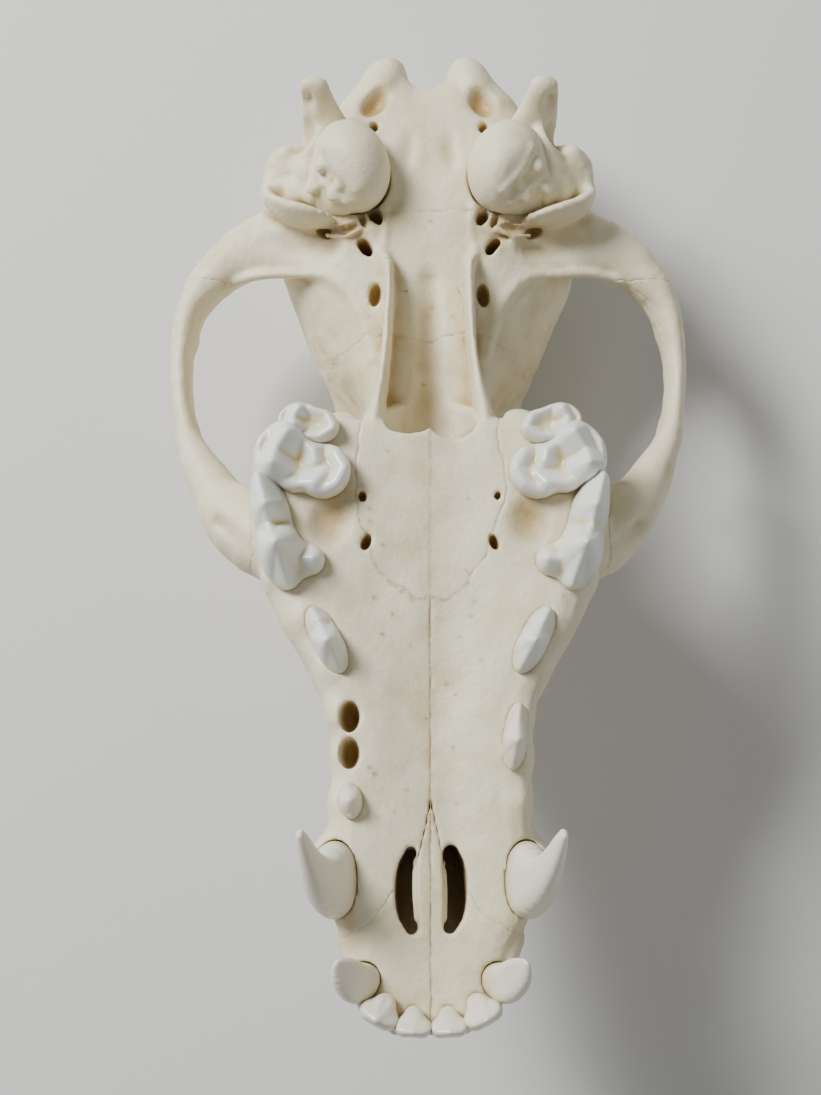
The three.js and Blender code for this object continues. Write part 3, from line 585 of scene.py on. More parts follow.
# %% Holes and hollows
HOLES = {
    "palate hole": ((11.1, 82.6, -1), (1.0, 1.7, 3.4), 0.35),
    "small palate hole": ((11.8, 90.8, -1), (0.75, 1.0, 2.6), -0.2),
    "torn hole": ((9.9, 146.6, -13), (1.2, 2.1, 4), -0.45),
    "slit by the torn hole": ((12.2, 145.8, -12.6), (0.55, 1.8, 2), -0.3),
    "oval hole": ((11.8, 140.8, -14), (1.1, 2, 5), -0.6),
    "joint pit": ((19.4, 144.8, -15.4), (1.8, 1.4, 1.3), 0.5),
    "pore in the joint pit": ((19.2, 145, -16.2), (0.6, 0.55, 1.2), 0.0),
    "canal behind the throat wall": ((10, 131.6, -13.4), (1.2, 2.2, 3.4), 0.1),
    "knuckle hole": ((10.3, 164.4, -13.2), (0.8, 1, 2.6), 0.0),
}
HOLLOWS = {
    "on the knuckle": ((10.2, 170, -13.4), (2.5, 3.5, 3.8), 0.6),
    "beside the midline": ((3.8, 160, -11), (1.8, 5, 1.9), 0.1),
    "inside the carnassial": ((17, 86, 1.5), (4, 4.6, 3), 0.2),
    "vault of the palate": ((0, 56, 8.6), (13, 40, 10.3), 0.0),
    "beside the torn hole": ((14.6, 143.6, -11.6), (3.6, 2, 2.2), 0.5),
    "between finger and bump": ((23.6, 161.4, -10.4), (2, 3, 4), 0.4),
}
for centre, radii, turn in HOLLOWS.values():
    carve(oval(centre, radii, turn), 1.1)
for centre, radii, turn in HOLES.values():
    carve(oval(centre, radii, turn), 0.35)
SPLINTERS = [
    [(21, 146.6, -14.6), (17.4, 145, -13), (14, 145.4, -12.2)],
    [(19, 143.4, -14), (15.6, 142.8, -12.8), (12.8, 144, -12.4)],
    [(8.2, 148.6, -12.4), (7.8, 144, -12.6), (8.8, 139.4, -13.2)],
]
SPLINTER_SIZE = (0.45, 0.6)
CHEEK_HOLE = [(24, 59, -17, 3, 3.4), (20, 66, -17, 1.8, 3), (17, 73, -17, 1.4, 2.4)]
for splinter in SPLINTERS:
    add(rod([(*point, *SPLINTER_SIZE) for point in splinter], 6), 0.8)
carve(rod(CHEEK_HOLE, 6), 0.8)
print(len(HOLES), "pairs of holes,", len(HOLLOWS), "pairs of hollows")

# %% [markdown]
# The ear capsules are blown-up bone as thin as eggshell. Each is two ovals with the short canal of the ear
# on its outer side. Its outer front is a flattened face with ridges and lumps. The capsules stay pieces of
# their own, so the bone round them is cut back by a crack that is widest on the inner side, where a real
# one is deep and dark, and that closes outwards, where the two grow together.

# %% Ear capsules
EAR_CANAL = [(17, 152.8, -14, 5, 4), (21.5, 152.4, -14.5, 3.6, 3.2), (25.6, 152, -15.6, 3, 2.6)]
CAPSULE_RIDGES = [
    [(18.6, 156.6, -4, 0.8, 0.7), (16.6, 152.6, -4.5, 0.8, 0.7), (13.4, 148.9, -5.4, 0.6, 0.6)],
    [(21.4, 153.6, -8.9, 0.9, 0.7), (18, 150.4, -7.5, 0.8, 0.7), (15.2, 147.6, -8, 0.6, 0.6)],
]
CAPSULE_LUMPS = [
    (19.8, 154, -5.8, 1.2),
    (17.6, 149, -8, 1.1),
    (21.4, 151.2, -9.4, 1.3),
    (16.4, 150.4, -6.2, 0.9),
]
BULB = (14.3, 155.4, -10), (7, 8.7, 8.2), -0.3
FRONT_BULB = (18, 152.6, -12.6), (5, 5.4, 5.2), -0.3
EAR_OPENING = (27, 152, -15.6), (4.6, 1.9, 1.8)
FACE_MIDDLE, FACE_NORMAL = (14.7, 154.6, -10), (0.55, -0.58, 0.6)
FACE_OFFSET, FACE_ROUNDING = 5.9, 1.8
CRACK_AT, CRACK_WIDTH = [9, 12, 15, 19, 24], [0.5, 0.2, -0.2, -0.8, -2]
capsule = np.full(bone.shape, FAR, np.float32)


def add_to_capsule(shape, width):
    """Joins a shape to the ear capsule with a fillet."""
    cut, values = shape
    capsule[cut] = soft_min(capsule[cut], values, width)


add_to_capsule(oval(*BULB), 1)
add_to_capsule(oval(*FRONT_BULB), 2.4)
add_to_capsule(rod(EAR_CANAL, 4), 1.5)
cut, values = oval(*EAR_OPENING)
capsule[cut] = -soft_min(-capsule[cut], values, 0.6)
face = sum((a - m) * n for a, m, n in zip((X, Y, Z), FACE_MIDDLE, FACE_NORMAL)) - FACE_OFFSET
capsule = -soft_min(-capsule, -face.astype(np.float32), FACE_ROUNDING)
for ridge in CAPSULE_RIDGES:
    add_to_capsule(rod(ridge, 6), 0.9)
for x, y, z, size in CAPSULE_LUMPS:
    add_to_capsule(oval((x, y, z), (size, size * 1.3, size * 0.8), turn=0.5), 0.8)
outwards = X + 0.6 * (Y - 150).clip(0)
crack = np.interp(outwards, CRACK_AT, CRACK_WIDTH).astype(np.float32)
bone = np.maximum(bone, -(capsule - crack)).astype(np.float32)
print("capsule inside share", round(float((capsule < 0).mean()), 5))

# %% [markdown]
# The teeth are named by their place in the row. A cheek tooth, and each of the two inner incisors, is drawn
# from above: its outline at the gum is a set of overlapping ovals (u, v, half width, half length), and its
# cusps are ridges through points (u, v, height) that fall away on both sides at their own steepness.
# Sculpting could give cusps too, but here every height can be read and changed.

# %% Forms of the cheek teeth and inner incisors
CUSPED = {
    "incisor_1": dict(
        at=(2.95, 1.5),
        turn=-0.06,
        outline=[(0, -0.6, 2.9, 1.6), (-1.6, -0.6, 1.35, 1.5), (1.6, -0.6, 1.35, 1.5), (0, 0.9, 1.7, 2)],
        ridges=[
            ([(-2.5, -1.1, 5), (0, -1.4, 5.9), (2.5, -1.1, 5.2)], 1.1),
            ([(0, -0.2, 3.6), (0, 1.8, 2.6)], 1.6),
        ],
    ),
    "incisor_2": dict(
        at=(8.3, 3.3),
        turn=-0.46,
        outline=[(0, -0.5, 3.2, 1.9), (-1.7, -0.6, 1.5, 1.6), (1.8, -0.4, 1.5, 1.6), (0, 1, 2, 2.3)],
        ridges=[
            ([(-2.6, -1, 5.2), (0.2, -1.4, 6.9), (2.7, -0.8, 5.6)], 1.15),
            ([(0.1, -0.2, 4.6), (0, 2, 2.8)], 1.5),
        ],
    ),
    "premolar_1": dict(
        at=(13.6, 38.0),
        turn=0.1,
        outline=[(0, 0, 2.1, 3.1)],
        ridges=[([(0, -2.2, 2.4), (0, -0.2, 4.6), (0, 2.2, 2.2)], 1.5)],
    ),
    "premolar_2": dict(
        at=(14.4, 48.6),
        turn=0.12,
        outline=[(0, -1, 2.1, 4.6), (0, 2, 1.9, 4)],
        ridges=[([(0, -5, 2), (0.2, -0.8, 6.6), (0, 2.6, 3.6), (0, 5.2, 2.6)], 2.0)],
    ),
    "premolar_3": dict(
        at=(17.6, 65.0),
        turn=0.46,
        outline=[(0, -1.2, 2.5, 4.8), (0, 2.4, 2.4, 4.2)],
        ridges=[
            ([(0, -5.4, 2.4), (0.2, -0.6, 7.8), (0, 2.6, 4.4)], 1.9),
            ([(0, 3.6, 4.2), (0, 5.6, 3)], 1.8),
        ],
    ),
    "premolar_4": dict(
        at=(26.4, 83.8),
        turn=0.25,
        outline=[
            (0.2, -3.4, 3.9, 6.7),
            (0.2, 3.4, 3.3, 7),
            (0.7, 8, 1.9, 3.4),
            (-2.2, -5.4, 3.4, 3.4),
            (-4.5, -5.9, 2.4, 2.7),
        ],
        ridges=[
            ([(0.2, -9.4, 3.4), (0.6, -3.2, 10.8), (1, 0.6, 5.8)], 1.9),
            ([(1, 1.4, 5.6), (0.8, 4.2, 8.4), (0.9, 10, 5.6)], 1.9),
            ([(-4.8, -6.2, 4.6), (-2, -5.6, 3.8), (0, -4.6, 4.6)], 1.2),
        ],
    ),
    "molar_1": dict(
        at=(22.6, 95.7),
        turn=-0.36,
        outline=[(-4, 0.6, 4.9, 4.9), (0.4, 0, 4.4, 4.9), (4.2, 1, 4.4, 5.7)],
        ridges=[
            ([(4.2, -2, 7.2), (4.7, 0.8, 5.2), (3.8, 3.9, 6.6)], 1.35),
            ([(7.3, -1.8, 2.9), (7.9, 1.4, 3.4), (6.5, 5, 2.9)], 1.4),
            ([(2.6, -3.8, 3.6), (-1, -3.4, 3.9), (-3.6, -2.4, 4.7), (-4.4, -0.4, 4)], 0.9),
            ([(-2.4, 1.4, 3.8), (-1.4, 3, 3.8), (1.4, 4, 3.2)], 1.2),
            ([(-4.6, -3.6, 3.4), (-7.2, -1, 4.4), (-7.6, 1.8, 4.4), (-5.4, 3.8, 3.6)], 0.9),
        ],
    ),
    "molar_2": dict(
        at=(21.1, 103.3),
        turn=-0.1,
        outline=[(1.6, 0.1, 3.9, 3.5), (-1.9, -0.3, 3.4, 3)],
        ridges=[
            ([(2.6, -1, 4.6), (2.9, 0.6, 3.4), (2, 2, 4)], 1.6),
            ([(4.9, -1.4, 2.2), (5.2, 0.8, 2.4), (3.6, 2.9, 2.2)], 1.5),
            ([(1.2, -2.6, 2.6), (-2, -2.4, 3), (-4.4, -0.6, 3.5), (-3, 1.7, 3), (0, 2.6, 2.8)], 1.3),
        ],
    ),
}
print(len(CUSPED), "forms written down")

# %% [markdown]
# Each form becomes a field on a fine grid of its own, since cusps need smaller cells than the skull. The
# crown narrows a little towards its tips, and the root goes straight down into the jaw.

# %% Teeth drawn from above
ROOT = 5.0
LOWEST_CROWN = -1.5
TAPER, TAPER_FROM = 0.11, 1.8


def height_of_ridge(u, v, line_points, steep):
    """A ridge along points of (u, v, height), which falls away on both sides from a rounded top."""
    # How round the top is, and its root, which keeps the top at the height that is stated
    top_rounding, rounding_root = 0.4, 0.63
    best = None
    for (u0, v0, h0), (u1, v1, h1) in zip(line_points[:-1], line_points[1:]):
        du, dv = u1 - u0, v1 - v0
        t = np.clip(((u - u0) * du + (v - v0) * dv) / (du * du + dv * dv), 0, 1)
        far = np.hypot(u - u0 - t * du, v - v0 - t * dv)
        height = h0 + (h1 - h0) * t - steep * (np.sqrt(far**2 + top_rounding) - rounding_root)
        best = height if best is None else np.maximum(best, height)
    return best


def cusped_tooth(at, turn, outline, ridges):
    """A tooth drawn from above, on its own fine grid. Its own u runs outwards and v back along the row."""
    reach = max(math.hypot(abs(u) + a, abs(v) + b) for u, v, a, b in outline) + 1
    top = max(h for points, _ in ridges for _, _, h in points) + 1.5
    low, high = (at[0] - reach, at[1] - reach, -ROOT - 1), (at[0] + reach, at[1] + reach, top)
    axes = [np.arange(lo, hi, TOOTH_CELL, dtype=np.float32) for lo, hi in zip(low, high)]
    x, y, z = places((slice(None),) * 3, axes)
    ct, st = math.cos(turn), math.sin(turn)
    u, v = (x - at[0]) * ct - (y - at[1]) * st, (x - at[0]) * st + (y - at[1]) * ct
    rim = None
    for cu, cv, a, b in outline:
        d = round_distance((u - cu, a), (v - cv, b))
        rim = d if rim is None else soft_min(rim, d, 0.9)
    height = None
    for points, steep in ridges:
        one = height_of_ridge(u, v, points, steep)
        height = one if height is None else -soft_min(-height, -one, 0.6)
    height = -soft_min(-height, np.full_like(height, LOWEST_CROWN), 0.8)
    slope = np.sqrt(1 + sum(g**2 for g in np.gradient(height[:, :, 0], TOOTH_CELL)))[:, :, None]
    waist = TAPER * np.maximum(z - TAPER_FROM, 0) ** 1.2 + 0.5 * np.clip(0.6 - z, 0, 3)
    field = -soft_min(-(rim + waist), -(z - height) / slope, 0.8)
    return axes, np.maximum(field, -ROOT - z).astype(np.float32)


teeth = {name: cusped_tooth(**form) for name, form in CUSPED.items()}
print(len(teeth), "forms drawn from above")

# %% [markdown]
# The outer incisor and the canine are bent, tapering rods, flattened by one facet on the inner side. The
# first three numbers of a facet are the way it faces, and the last is how far out it lies.

# %% Outer incisor and canine
FRONT = {
    "incisor_3": (
        (-1, 1, 0),
        [
            (10.8, 8.4, -6, 2.4, 3),
            (11.8, 8, 0, 3.1, 3.5),
            (12.7, 8.2, 2.8, 3.2, 3.3),
            (13.8, 9.6, 5.8, 2.3, 2.8),
            (14.6, 10.9, 8, 1.3, 1.7),
            (14.9, 11.3, 8.8, 0.9, 1.2),
        ],
        (-0.7, -0.2, 0.68, -6.9),
    ),
    "canine": (
        (0, 1, 0),
        [
            (15.7, 26, -7, 3.8, 5.6),
            (16.3, 24.7, 0.5, 4.25, 6.4),
            (17.7, 24.4, 6, 3.3, 4.4),
            (19.1, 26.6, 12, 2.2, 2.8),
            (20.2, 29.9, 17, 1.4, 1.7),
            (20.7, 31.4, 19, 0.9, 1.1),
        ],
        (-0.93, 0, 0.37, -11.5),
    ),
}


def rod_tooth(up, points, facet, pieces=14):
    """A bent, tapering tooth on its own fine grid, with one flat facet on its inner side."""
    rows = np.array(points)
    reach = rows[:, 3:].max() + 1.5
    low, high = rows[:, :3].min(0) - reach, rows[:, :3].max(0) + reach
    axes = [np.arange(lo, hi, TOOTH_CELL, dtype=np.float32) for lo, hi in zip(low, high)]
    x, y, z = places((slice(None),) * 3, axes)
    nx, ny, nz, far = facet
    plane = (nx * x + ny * y + nz * z - far).astype(np.float32)
    whole = rod(points, pieces, up, axes)[1]
    return axes, -soft_min(-whole, -plane, 1.2)


teeth.update({name: rod_tooth(*form) for name, form in FRONT.items()})
print(len(teeth), "forms of tooth")

# %% [markdown]
# Now both halves. The field is mirrored. Slow swells of a third of a millimetre then take away the look of
# a perfect mirror, and short rough swells are laid where muscles held on. A bump in the material would be
# cheaper, but it doesn't reach the outline. Last, the bone is cut off level with the ground, so that it
# rests on small flats and nothing dips under the floor.

# %% Both halves
AXES[0] = np.concatenate([-AXES[0][:0:-1], AXES[0]])
X = AXES[0][:, None, None]
bone = np.concatenate([bone[:0:-1], bone])
core = np.concatenate([core[:0:-1], core])
capsule = np.concatenate([capsule[:0:-1], capsule])


def ripple(shape, spacing, seed):
    """Smooth random swells, one knot every `spacing` cells."""
    knots = [int(n / spacing) + 5 for n in shape]
    made = np.random.default_rng(seed).standard_normal(knots).astype(np.float32)
    for axis, n in enumerate(shape):
        at = np.arange(n) / spacing + 1
        i = at.astype(int)
        t = (at - i).astype(np.float32)
        along = [1 if k != axis else n for k in range(3)]
        weights = [
            (-t + 2 * t**2 - t**3) / 2,
            (2 - 5 * t**2 + 3 * t**3) / 2,
            (t + 4 * t**2 - 3 * t**3) / 2,
            (t**3 - t**2) / 2,
        ]
        made = sum(np.take(made, i + k - 1, axis) * w.reshape(along) for k, w in enumerate(weights))
    return made


ROUGH_PLACES = [
    ((26, 155, -16), (8, 8, 8)),
    ((15, 143, -13), (6, 5, 5)),
    ((18.5, 150.6, -8), (4.6, 4.6, 4.6)),
    ((19, 168, -32), (14, 7, 14)),
    ((36, 128, -30), (16, 14, 12)),
    ((20, 106, -9), (5, 5, 6)),
    ((22, 118, -28), (9, 16, 13)),
]
SLOW, SHORT, FINE = 7 / CELL, 2.6 / CELL, 1.3 / CELL
SLOW_HEIGHT, EVEN_HEIGHT, ROUGH_HEIGHT, CAPSULE_SHARE = 0.16, 0.04, 0.1, 1.8
rough = np.zeros(bone.shape, np.float32)
for (cx, cy, cz), (a, b, c) in ROUGH_PLACES:
    far = ((np.abs(X) - cx) / a) ** 2 + ((Y - cy) / b) ** 2 + ((Z - cz) / c) ** 2
    rough = np.maximum(rough, np.exp(-far))
short_height = EVEN_HEIGHT + ROUGH_HEIGHT * rough
bone += SLOW_HEIGHT * ripple(bone.shape, SLOW, 3) + short_height * ripple(bone.shape, SHORT, 4)
fine_rough = ROUGH_HEIGHT * rough * ripple(bone.shape, FINE, 5)
bone += fine_rough
capsule += CAPSULE_SHARE * fine_rough
under_ground = Y * math.sin(REST_TILT) - Z * math.cos(REST_TILT) - PLACE[2]
bone = np.maximum(bone, under_ground).astype(np.float32)
print("both halves:", bone.size // 1000, "thousand cells")

# %% [markdown]
# The first premolar is missing on the right and the second on the left, as in the photograph. The two empty
# sockets of the second are drilled. The jaw is cut back by a thin gap round each tooth that is there, and
# once more a little further back for the front teeth, whose sockets are wider than their necks.

# %% Sockets
MISSING = {("premolar_2", -1), ("premolar_1", 1)}
TOOTH_GAP = {"canine": 0.07, "incisor_1": 0.1, "incisor_2": 0.1, "incisor_3": 0.07, "premolar_1": 0.08}
LEAST_GAP = 0.04
SOCKET_SLACK = {"canine": 0.22, "incisor_1": 0.6, "incisor_2": 0.4, "incisor_3": 0.2}
EMPTY_SOCKETS = [(-13.8, 52.2), (-13.8, 46.0)]
SOCKET_RADII = (1.8, 2.7, 5.4)


def sample(axes, field, points):
    """The field's values at points, by straight lines between cells."""
    at = [(points[:, k] - axes[k][0]) / (axes[k][1] - axes[k][0]) for k in range(3)]
    at = [np.clip(a, 0, n - 1.001) for a, n in zip(at, field.shape)]
    base = [a.astype(int) for a in at]
    part = [a - b for a, b in zip(at, base)]
    total = 0
    for corner in range(8):
        pick = [(corner >> k) & 1 for k in range(3)]
        weight = np.prod([p if c else 1 - p for p, c in zip(part, pick)], axis=0)
        total = total + weight * field[base[0] + pick[0], base[1] + pick[1], base[2] + pick[2]]
    return total


for x, y in EMPTY_SOCKETS:
    carve(oval((x, y, -0.5), SOCKET_RADII), 0.5)
for name, (axes, field) in teeth.items():
    for side in (-1, 1):
        if (name, side) in MISSING:
            continue
        low = [axes[0][0], axes[1][0], axes[2][0]]
        high = [axes[0][-1], axes[1][-1], axes[2][-1]]
        if side < 0:
            low[0], high[0] = -high[0], -low[0]
        cut = window(low, high, -CELL)
        x, y, z = np.broadcast_arrays(*places(cut))
        points = np.stack([side * x.ravel(), y.ravel(), z.ravel()], 1)
        for slack in sorted({0.0, SOCKET_SLACK.get(name, 0.0)}):
            tooth = sample(axes, field, points - [0, slack, 0]).reshape(x.shape)
            bone[cut] = np.maximum(bone[cut], -(tooth - TOOTH_GAP.get(name, LEAST_GAP)))
print("teeth seated")

# %% [markdown]
# Each bone is cut from the whole along its seams, by a field of its own that is negative inside it. A seam
# is a bent line through values at stops, and the factor behind it keeps the slope of its field near one.
# Seams could be drawn as dark lines on one mesh. Real bones are separate, so they are here too, and the
# seam is a true gap. The real joints are toothed and close with age, so they are hairlines, with a little
# wander.

# %% Seams
LONG = 5 / CELL
FINE_WANDER, LONG_WANDER = 0.16, 0.22
wander = FINE_WANDER * ripple(bone.shape, FINE, 7) + LONG_WANDER * ripple(bone.shape, LONG, 8)


def line(at, values, stops):
    """A bent line through values at stops, read at every cell."""
    return np.interp(at, stops, values).astype(np.float32)


side_x = np.abs(X)
front_seam = line(side_x, [38, 28, 24, 19, 16, 15], [0, 2.2, 5.5, 9, 14, 20])
depth = np.clip((-Z - 3) / 9, 0, 1)
premaxilla = (Y - (front_seam * (1 - depth) + (16 + 0.62 * -Z) * depth)) * 0.8 + wander
socket_seam = (Y - line(Z, [70, 79, 80.5, 84, 109, 109], [-60, -38, -14, -10.5, -9, 10])) * 0.8 + wander
crown_seam = (Y - line(Z, [118, 119, 123, 125], [-60, -40, -16, -13])) * 0.95 + wander
nape_seam = (Y - line(Z, [173, 170.5, 156.5, 147.5, 147], [-60, -42, -19, -14, 10])) * 0.8 + wander
nasal_drop = [-12, -19.2, -21.6, -24.4, -28.8, -36.4, -42, -50]
nasal_floor = line(Y, nasal_drop, [0, 7.4, 20, 38, 60, 78, 84, 88])
nasal_width = line(Y, [5.2, 5.6, 5.8, 6.4, 5, 1.5], [8, 20, 40, 60, 78, 85])
nasal = np.maximum(np.maximum(side_x - nasal_width, Z - nasal_floor), Y - 85) + wander
plate_width = line(Y, [13.8, 13.8, 11.9], [60, 95, 101])
plate_shape = (side_x / plate_width) ** 2.1 + (np.maximum(103 - Y, 0) / 31) ** 2.1
plate_roof = line(Y, [-5, -12, -12.5, -13.2, -13.8, -13.4, -12], [72, 84, 104, 110, 120, 133, 137])
palatine = np.maximum(np.maximum((plate_shape ** (1 / 2.1) - 1) * 11, plate_roof - Z), Y - 137.5) + wander
strap_seam = np.maximum((Y - (124 + 2.6 * (Z + 25.5))) * 0.36, Y - 136.5)
cheek = np.maximum(31.8 - side_x, strap_seam) + wander
print("seams drawn")

# %% [markdown]
# A bone is where several of these fields are negative at once. The left and right bones of the face part at
# the midline, and each bone reaches a little over its seam, so that nothing shows through between two
# pieces.

# %% Bones
def inside(*fields):
    """The field of the space that is inside every one of several fields."""
    made = fields[0]
    for f in fields[1:]:
        made = np.maximum(made, f)
    return made


MIDLINE_GAP, SEAM_OVERLAP = 0.13, 0.23
OPEN_SEAMS = ("premaxilla", "maxilla", "palatine", "nasal", "cheek")
LEFT, RIGHT = X + 0.15 * wander + MIDLINE_GAP, -X - 0.15 * wander + MIDLINE_GAP
not_face_plates = inside(-nasal, -palatine, -cheek)
BONES = {}
for word, half in (("left", LEFT), ("right", RIGHT)):
    BONES["premaxilla_" + word] = inside(half, premaxilla, -nasal)
    BONES["maxilla_" + word] = inside(half, -premaxilla, socket_seam, not_face_plates)
    BONES["cheek_bone_" + word] = inside(half, cheek)
BONES["nasal_bones"] = nasal
BONES["palatine_bones"] = palatine
BONES["frontal_bone"] = inside(-socket_seam, crown_seam, not_face_plates)
BONES["braincase"] = inside(-crown_seam, nape_seam, -palatine, -cheek)
BONES["occipital_bone"] = inside(-nape_seam, -palatine)
print(len(BONES), "bones")

# %% [markdown]
# The zero surface of a field becomes a mesh of small quads. A remesh modifier would do the same for a pile
# of overlapping solids, but it takes the soft joins away. Where a field is blurred it stays near zero on a
# flat, turns negative in a hollow and positive on a ridge, so the blur tells where dirt and old tissue
# stay, and where shade is painted into hollows and creases.

# %% Surface tools
def blurred(field, cells):
    """A box blur, by running sums."""
    made = field
    span = 2 * cells + 1
    for axis in range(3):
        before, after = np.take(made, [0] * (cells + 1), axis), np.take(made, [-1] * cells, axis)
        total = np.cumsum(np.concatenate([before, made, after], axis), axis, dtype=np.float64)
        n = made.shape[axis]
        gain = np.take(total, range(span, span + n), axis) - np.take(total, range(n), axis)
        made = (gain / span).astype(np.float32)
    return made


def surface(name, axes, field, mirror=False):
    """A smooth mesh of the zero surface, in the row frame."""
    grid = openvdb.FloatGrid(FAR)
    grid.copyFromArray(np.ascontiguousarray(field), tolerance=0.0)
    points, quads = grid.convertToQuads(0.0)
    cell = [a[1] - a[0] for a in axes]
    corners = points.astype(np.float64) * cell + [a[0] for a in axes]
    if mirror:
        corners = corners * [-1, 1, 1]
        quads = quads[:, ::-1]
    mesh = bpy.data.meshes.new(name)
    mesh.from_pydata(to_world(corners), [], quads.tolist())
    mesh.validate()
    mesh.shade_smooth()
    piece = bpy.data.objects.new(name, mesh)
    bpy.context.scene.collection.objects.link(piece)
    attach(piece, "root")
    return piece, corners


def note(piece, name, values):
    """Stores one number per corner of the mesh."""
    kept = piece.data.attributes.new(name, "FLOAT", "POINT")
    kept.data.foreach_set("value", np.asarray(values, np.float32))


print("surface tools ready")

# %% [markdown]
# Old tissue has tinted the bone in a few places, each named here with its middle, its reach and its
# strength. Single pores are dots of the same tint: some at random over the palate, and four where the
# photograph has one. They could be painted on a picture, but numbers stored at the corners of the mesh need
# no unwrapping.

# %% Stains and pores
STAINS = {
    "inside the slicing tooth": ((17.5, 88, -1), (4.2, 6.5, 4), 0.8),
    "round the torn hole": ((13.5, 144.6, -13), (7.5, 4, 4), 0.75),
    "joint pit": ((19.8, 145, -15), (2.4, 2, 3), 0.9),
    "between canine and incisors": ((14.8, 15.6, -3), (2.6, 4, 4), 0.45),
    "along the midline": ((0, 60, -1), (3, 60, 3), 0.3),
    "throat passage": ((0, 112, -15), (8, 14, 4), 0.2),
    "wall of the muscle hollow": ((19, 118, -26), (9, 14, 12), 0.4),
    "beside the knuckle": ((11, 169, -14), (4, 3, 3), 0.6),
}
CHANCE_PORES = np.random.default_rng(11).uniform((-11, 34, -3), (11, 99, 1), (26, 3))
SEEN_PORES = [(0.4, 145.6, -13), (0.6, 129.6, -15), (4.4, 127.6, -15), (-1, 115, -15.4)]
PORES = np.vstack([CHANCE_PORES, SEEN_PORES])
PORE_RADIUS = 0.42


def stain_at(corners):
    """How much old tissue has tinted the bone at each corner, from the named places and the pores."""
    total = np.zeros(len(corners))
    for centre, radii, most in STAINS.values():
        away = (corners * [0, 1, 1] + np.abs(corners * [1, 0, 0]) - centre) / radii
        total = np.maximum(total, most * np.exp(-(away**2).sum(1)))
    for x, y, z in PORES:
        away = np.hypot(corners[:, 0] - x, corners[:, 1] - y) + np.abs(corners[:, 2] - z) * 0.05
        total = np.maximum(total, 1.1 * np.exp(-((away / PORE_RADIUS) ** 2)))
    return total


print(len(STAINS), "stained places,", len(PORES), "pores")

# %% [markdown]
# Each bone becomes a piece. Four numbers are stored at every corner for the finish: how hollow the place
# is, how deep it lies inside the core, how far it is from a seam, and how stained it is. Hollows are
# tinted partly as dirt and partly as painted shade, and deep places are darkened as painted shade. The
# depth is held back in the throat passage, which the light reaches.

# %% Bone pieces
# How far each blur reaches in millimetres, and its share in how hollow a place is
FINE_REACH, FINE_SHARE = 1.2, 0.6
WIDE_REACH, WIDE_SHARE = 3.5, 0.2
FAR_FROM_SEAM = 4.0
# The seams of the outer front are nearly closed, so they stay pale
PALE_SEAM = 0.18
fine_blur = blurred(bone, max(1, round(FINE_REACH / CELL)))
wide_blur = blurred(bone, max(2, round(WIDE_REACH / CELL)))
# The painted shade by depth is held back here, where the light reaches the throat passage
lit = np.where((Y > 95) & (Y < 141) & (np.abs(X) < 9) & (Z > -17), np.maximum(core, -1.0), core)
made = {}
for name, region in BONES.items():
    open_seam = name.split("_")[0] in OPEN_SEAMS
    piece, corners = surface(name, AXES, np.maximum(bone, region - SEAM_OVERLAP))
    fine, wide = sample(AXES, fine_blur, corners), sample(AXES, wide_blur, corners)
    # How hollow a place is tints it partly as dirt and partly as painted shade
    note(piece, "hollow", -FINE_SHARE * fine - WIDE_SHARE * wide)
    # The depth darkens holes and recesses as painted shade
    note(piece, "deep", -sample(AXES, lit, corners))
    to_seam = np.full(len(corners), FAR_FROM_SEAM)
    if open_seam:
        to_seam = np.clip(-sample(AXES, region, corners), 0, FAR_FROM_SEAM)
    outer_front = (np.abs(corners[:, 0]) > 6) & (corners[:, 1] < 24)
    to_seam = np.where(outer_front, np.maximum(to_seam, PALE_SEAM), to_seam)
    if name == "palatine_bones":
        from_midline = np.abs(corners[:, 0] + 0.4 * sample(AXES, wander, corners))
        to_seam = np.minimum(to_seam, 0.5 * from_midline)
    note(piece, "seam", to_seam)
    note(piece, "stain", stain_at(corners))
    made[name] = piece
print("bone faces", sum(len(p.data.polygons) for p in made.values()))

# %% [markdown]
# The ear capsules and the teeth are surfaces of fields of their own. A tooth is drawn for the right side,
# and its mirror is the left one. Its height over the palate is stored, as enamel is creamier towards the
# root.

# %% Ear capsules and teeth
for word, side in (("left", -1), ("right", 1)):
    half = inside(capsule, side * -X)
    piece, corners = surface("ear_capsule_" + word, AXES, half)
    note(piece, "hollow", -FINE_SHARE * sample(AXES, blurred(half, 3), corners))
    note(piece, "seam", np.full(len(corners), FAR_FROM_SEAM))
    made["ear_capsule_" + word] = piece
enamel_pieces = []
for name, (axes, field) in teeth.items():
    for word, side in (("left", -1), ("right", 1)):
        if (name, side) in MISSING:
            continue
        piece, corners = surface(name + "_" + word, axes, field, mirror=side < 0)
        note(piece, "height", corners[:, 2])
        note(piece, "hollow", -sample(axes, blurred(field, 4), corners * [side, 1, 1]))
        enamel_pieces.append(piece)
print("teeth", len(enamel_pieces), "faces", sum(len(p.data.polygons) for p in enamel_pieces))

# %% [markdown]
# Each bone piece takes the place of the CAD solid of the same part, and the teeth are extra pieces beside
# it.

# %% Hiding the CAD solids that the pieces replace
for word in ("left", "right"):
    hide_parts("premaxilla_" + word)
    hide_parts("maxilla_" + word)
    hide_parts("zygomatic_arch_" + word)
    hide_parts("auditory_bulla_" + word)
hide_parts("nasal_bones")
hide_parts("palatine_pterygoid")
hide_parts("frontal")
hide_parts("braincase")
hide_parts("occipital")
print("all solids replaced")

# %% [markdown]
# Finishes. A material is a chain of nodes, and one small function adds a node with its settings and links.
# Every tint is laid over the last by a share from 0 to 1, which is the product of one or two ramps. An sRGB
# hex value is what a colour picker shows, so it is turned into the linear light that the shader works in.

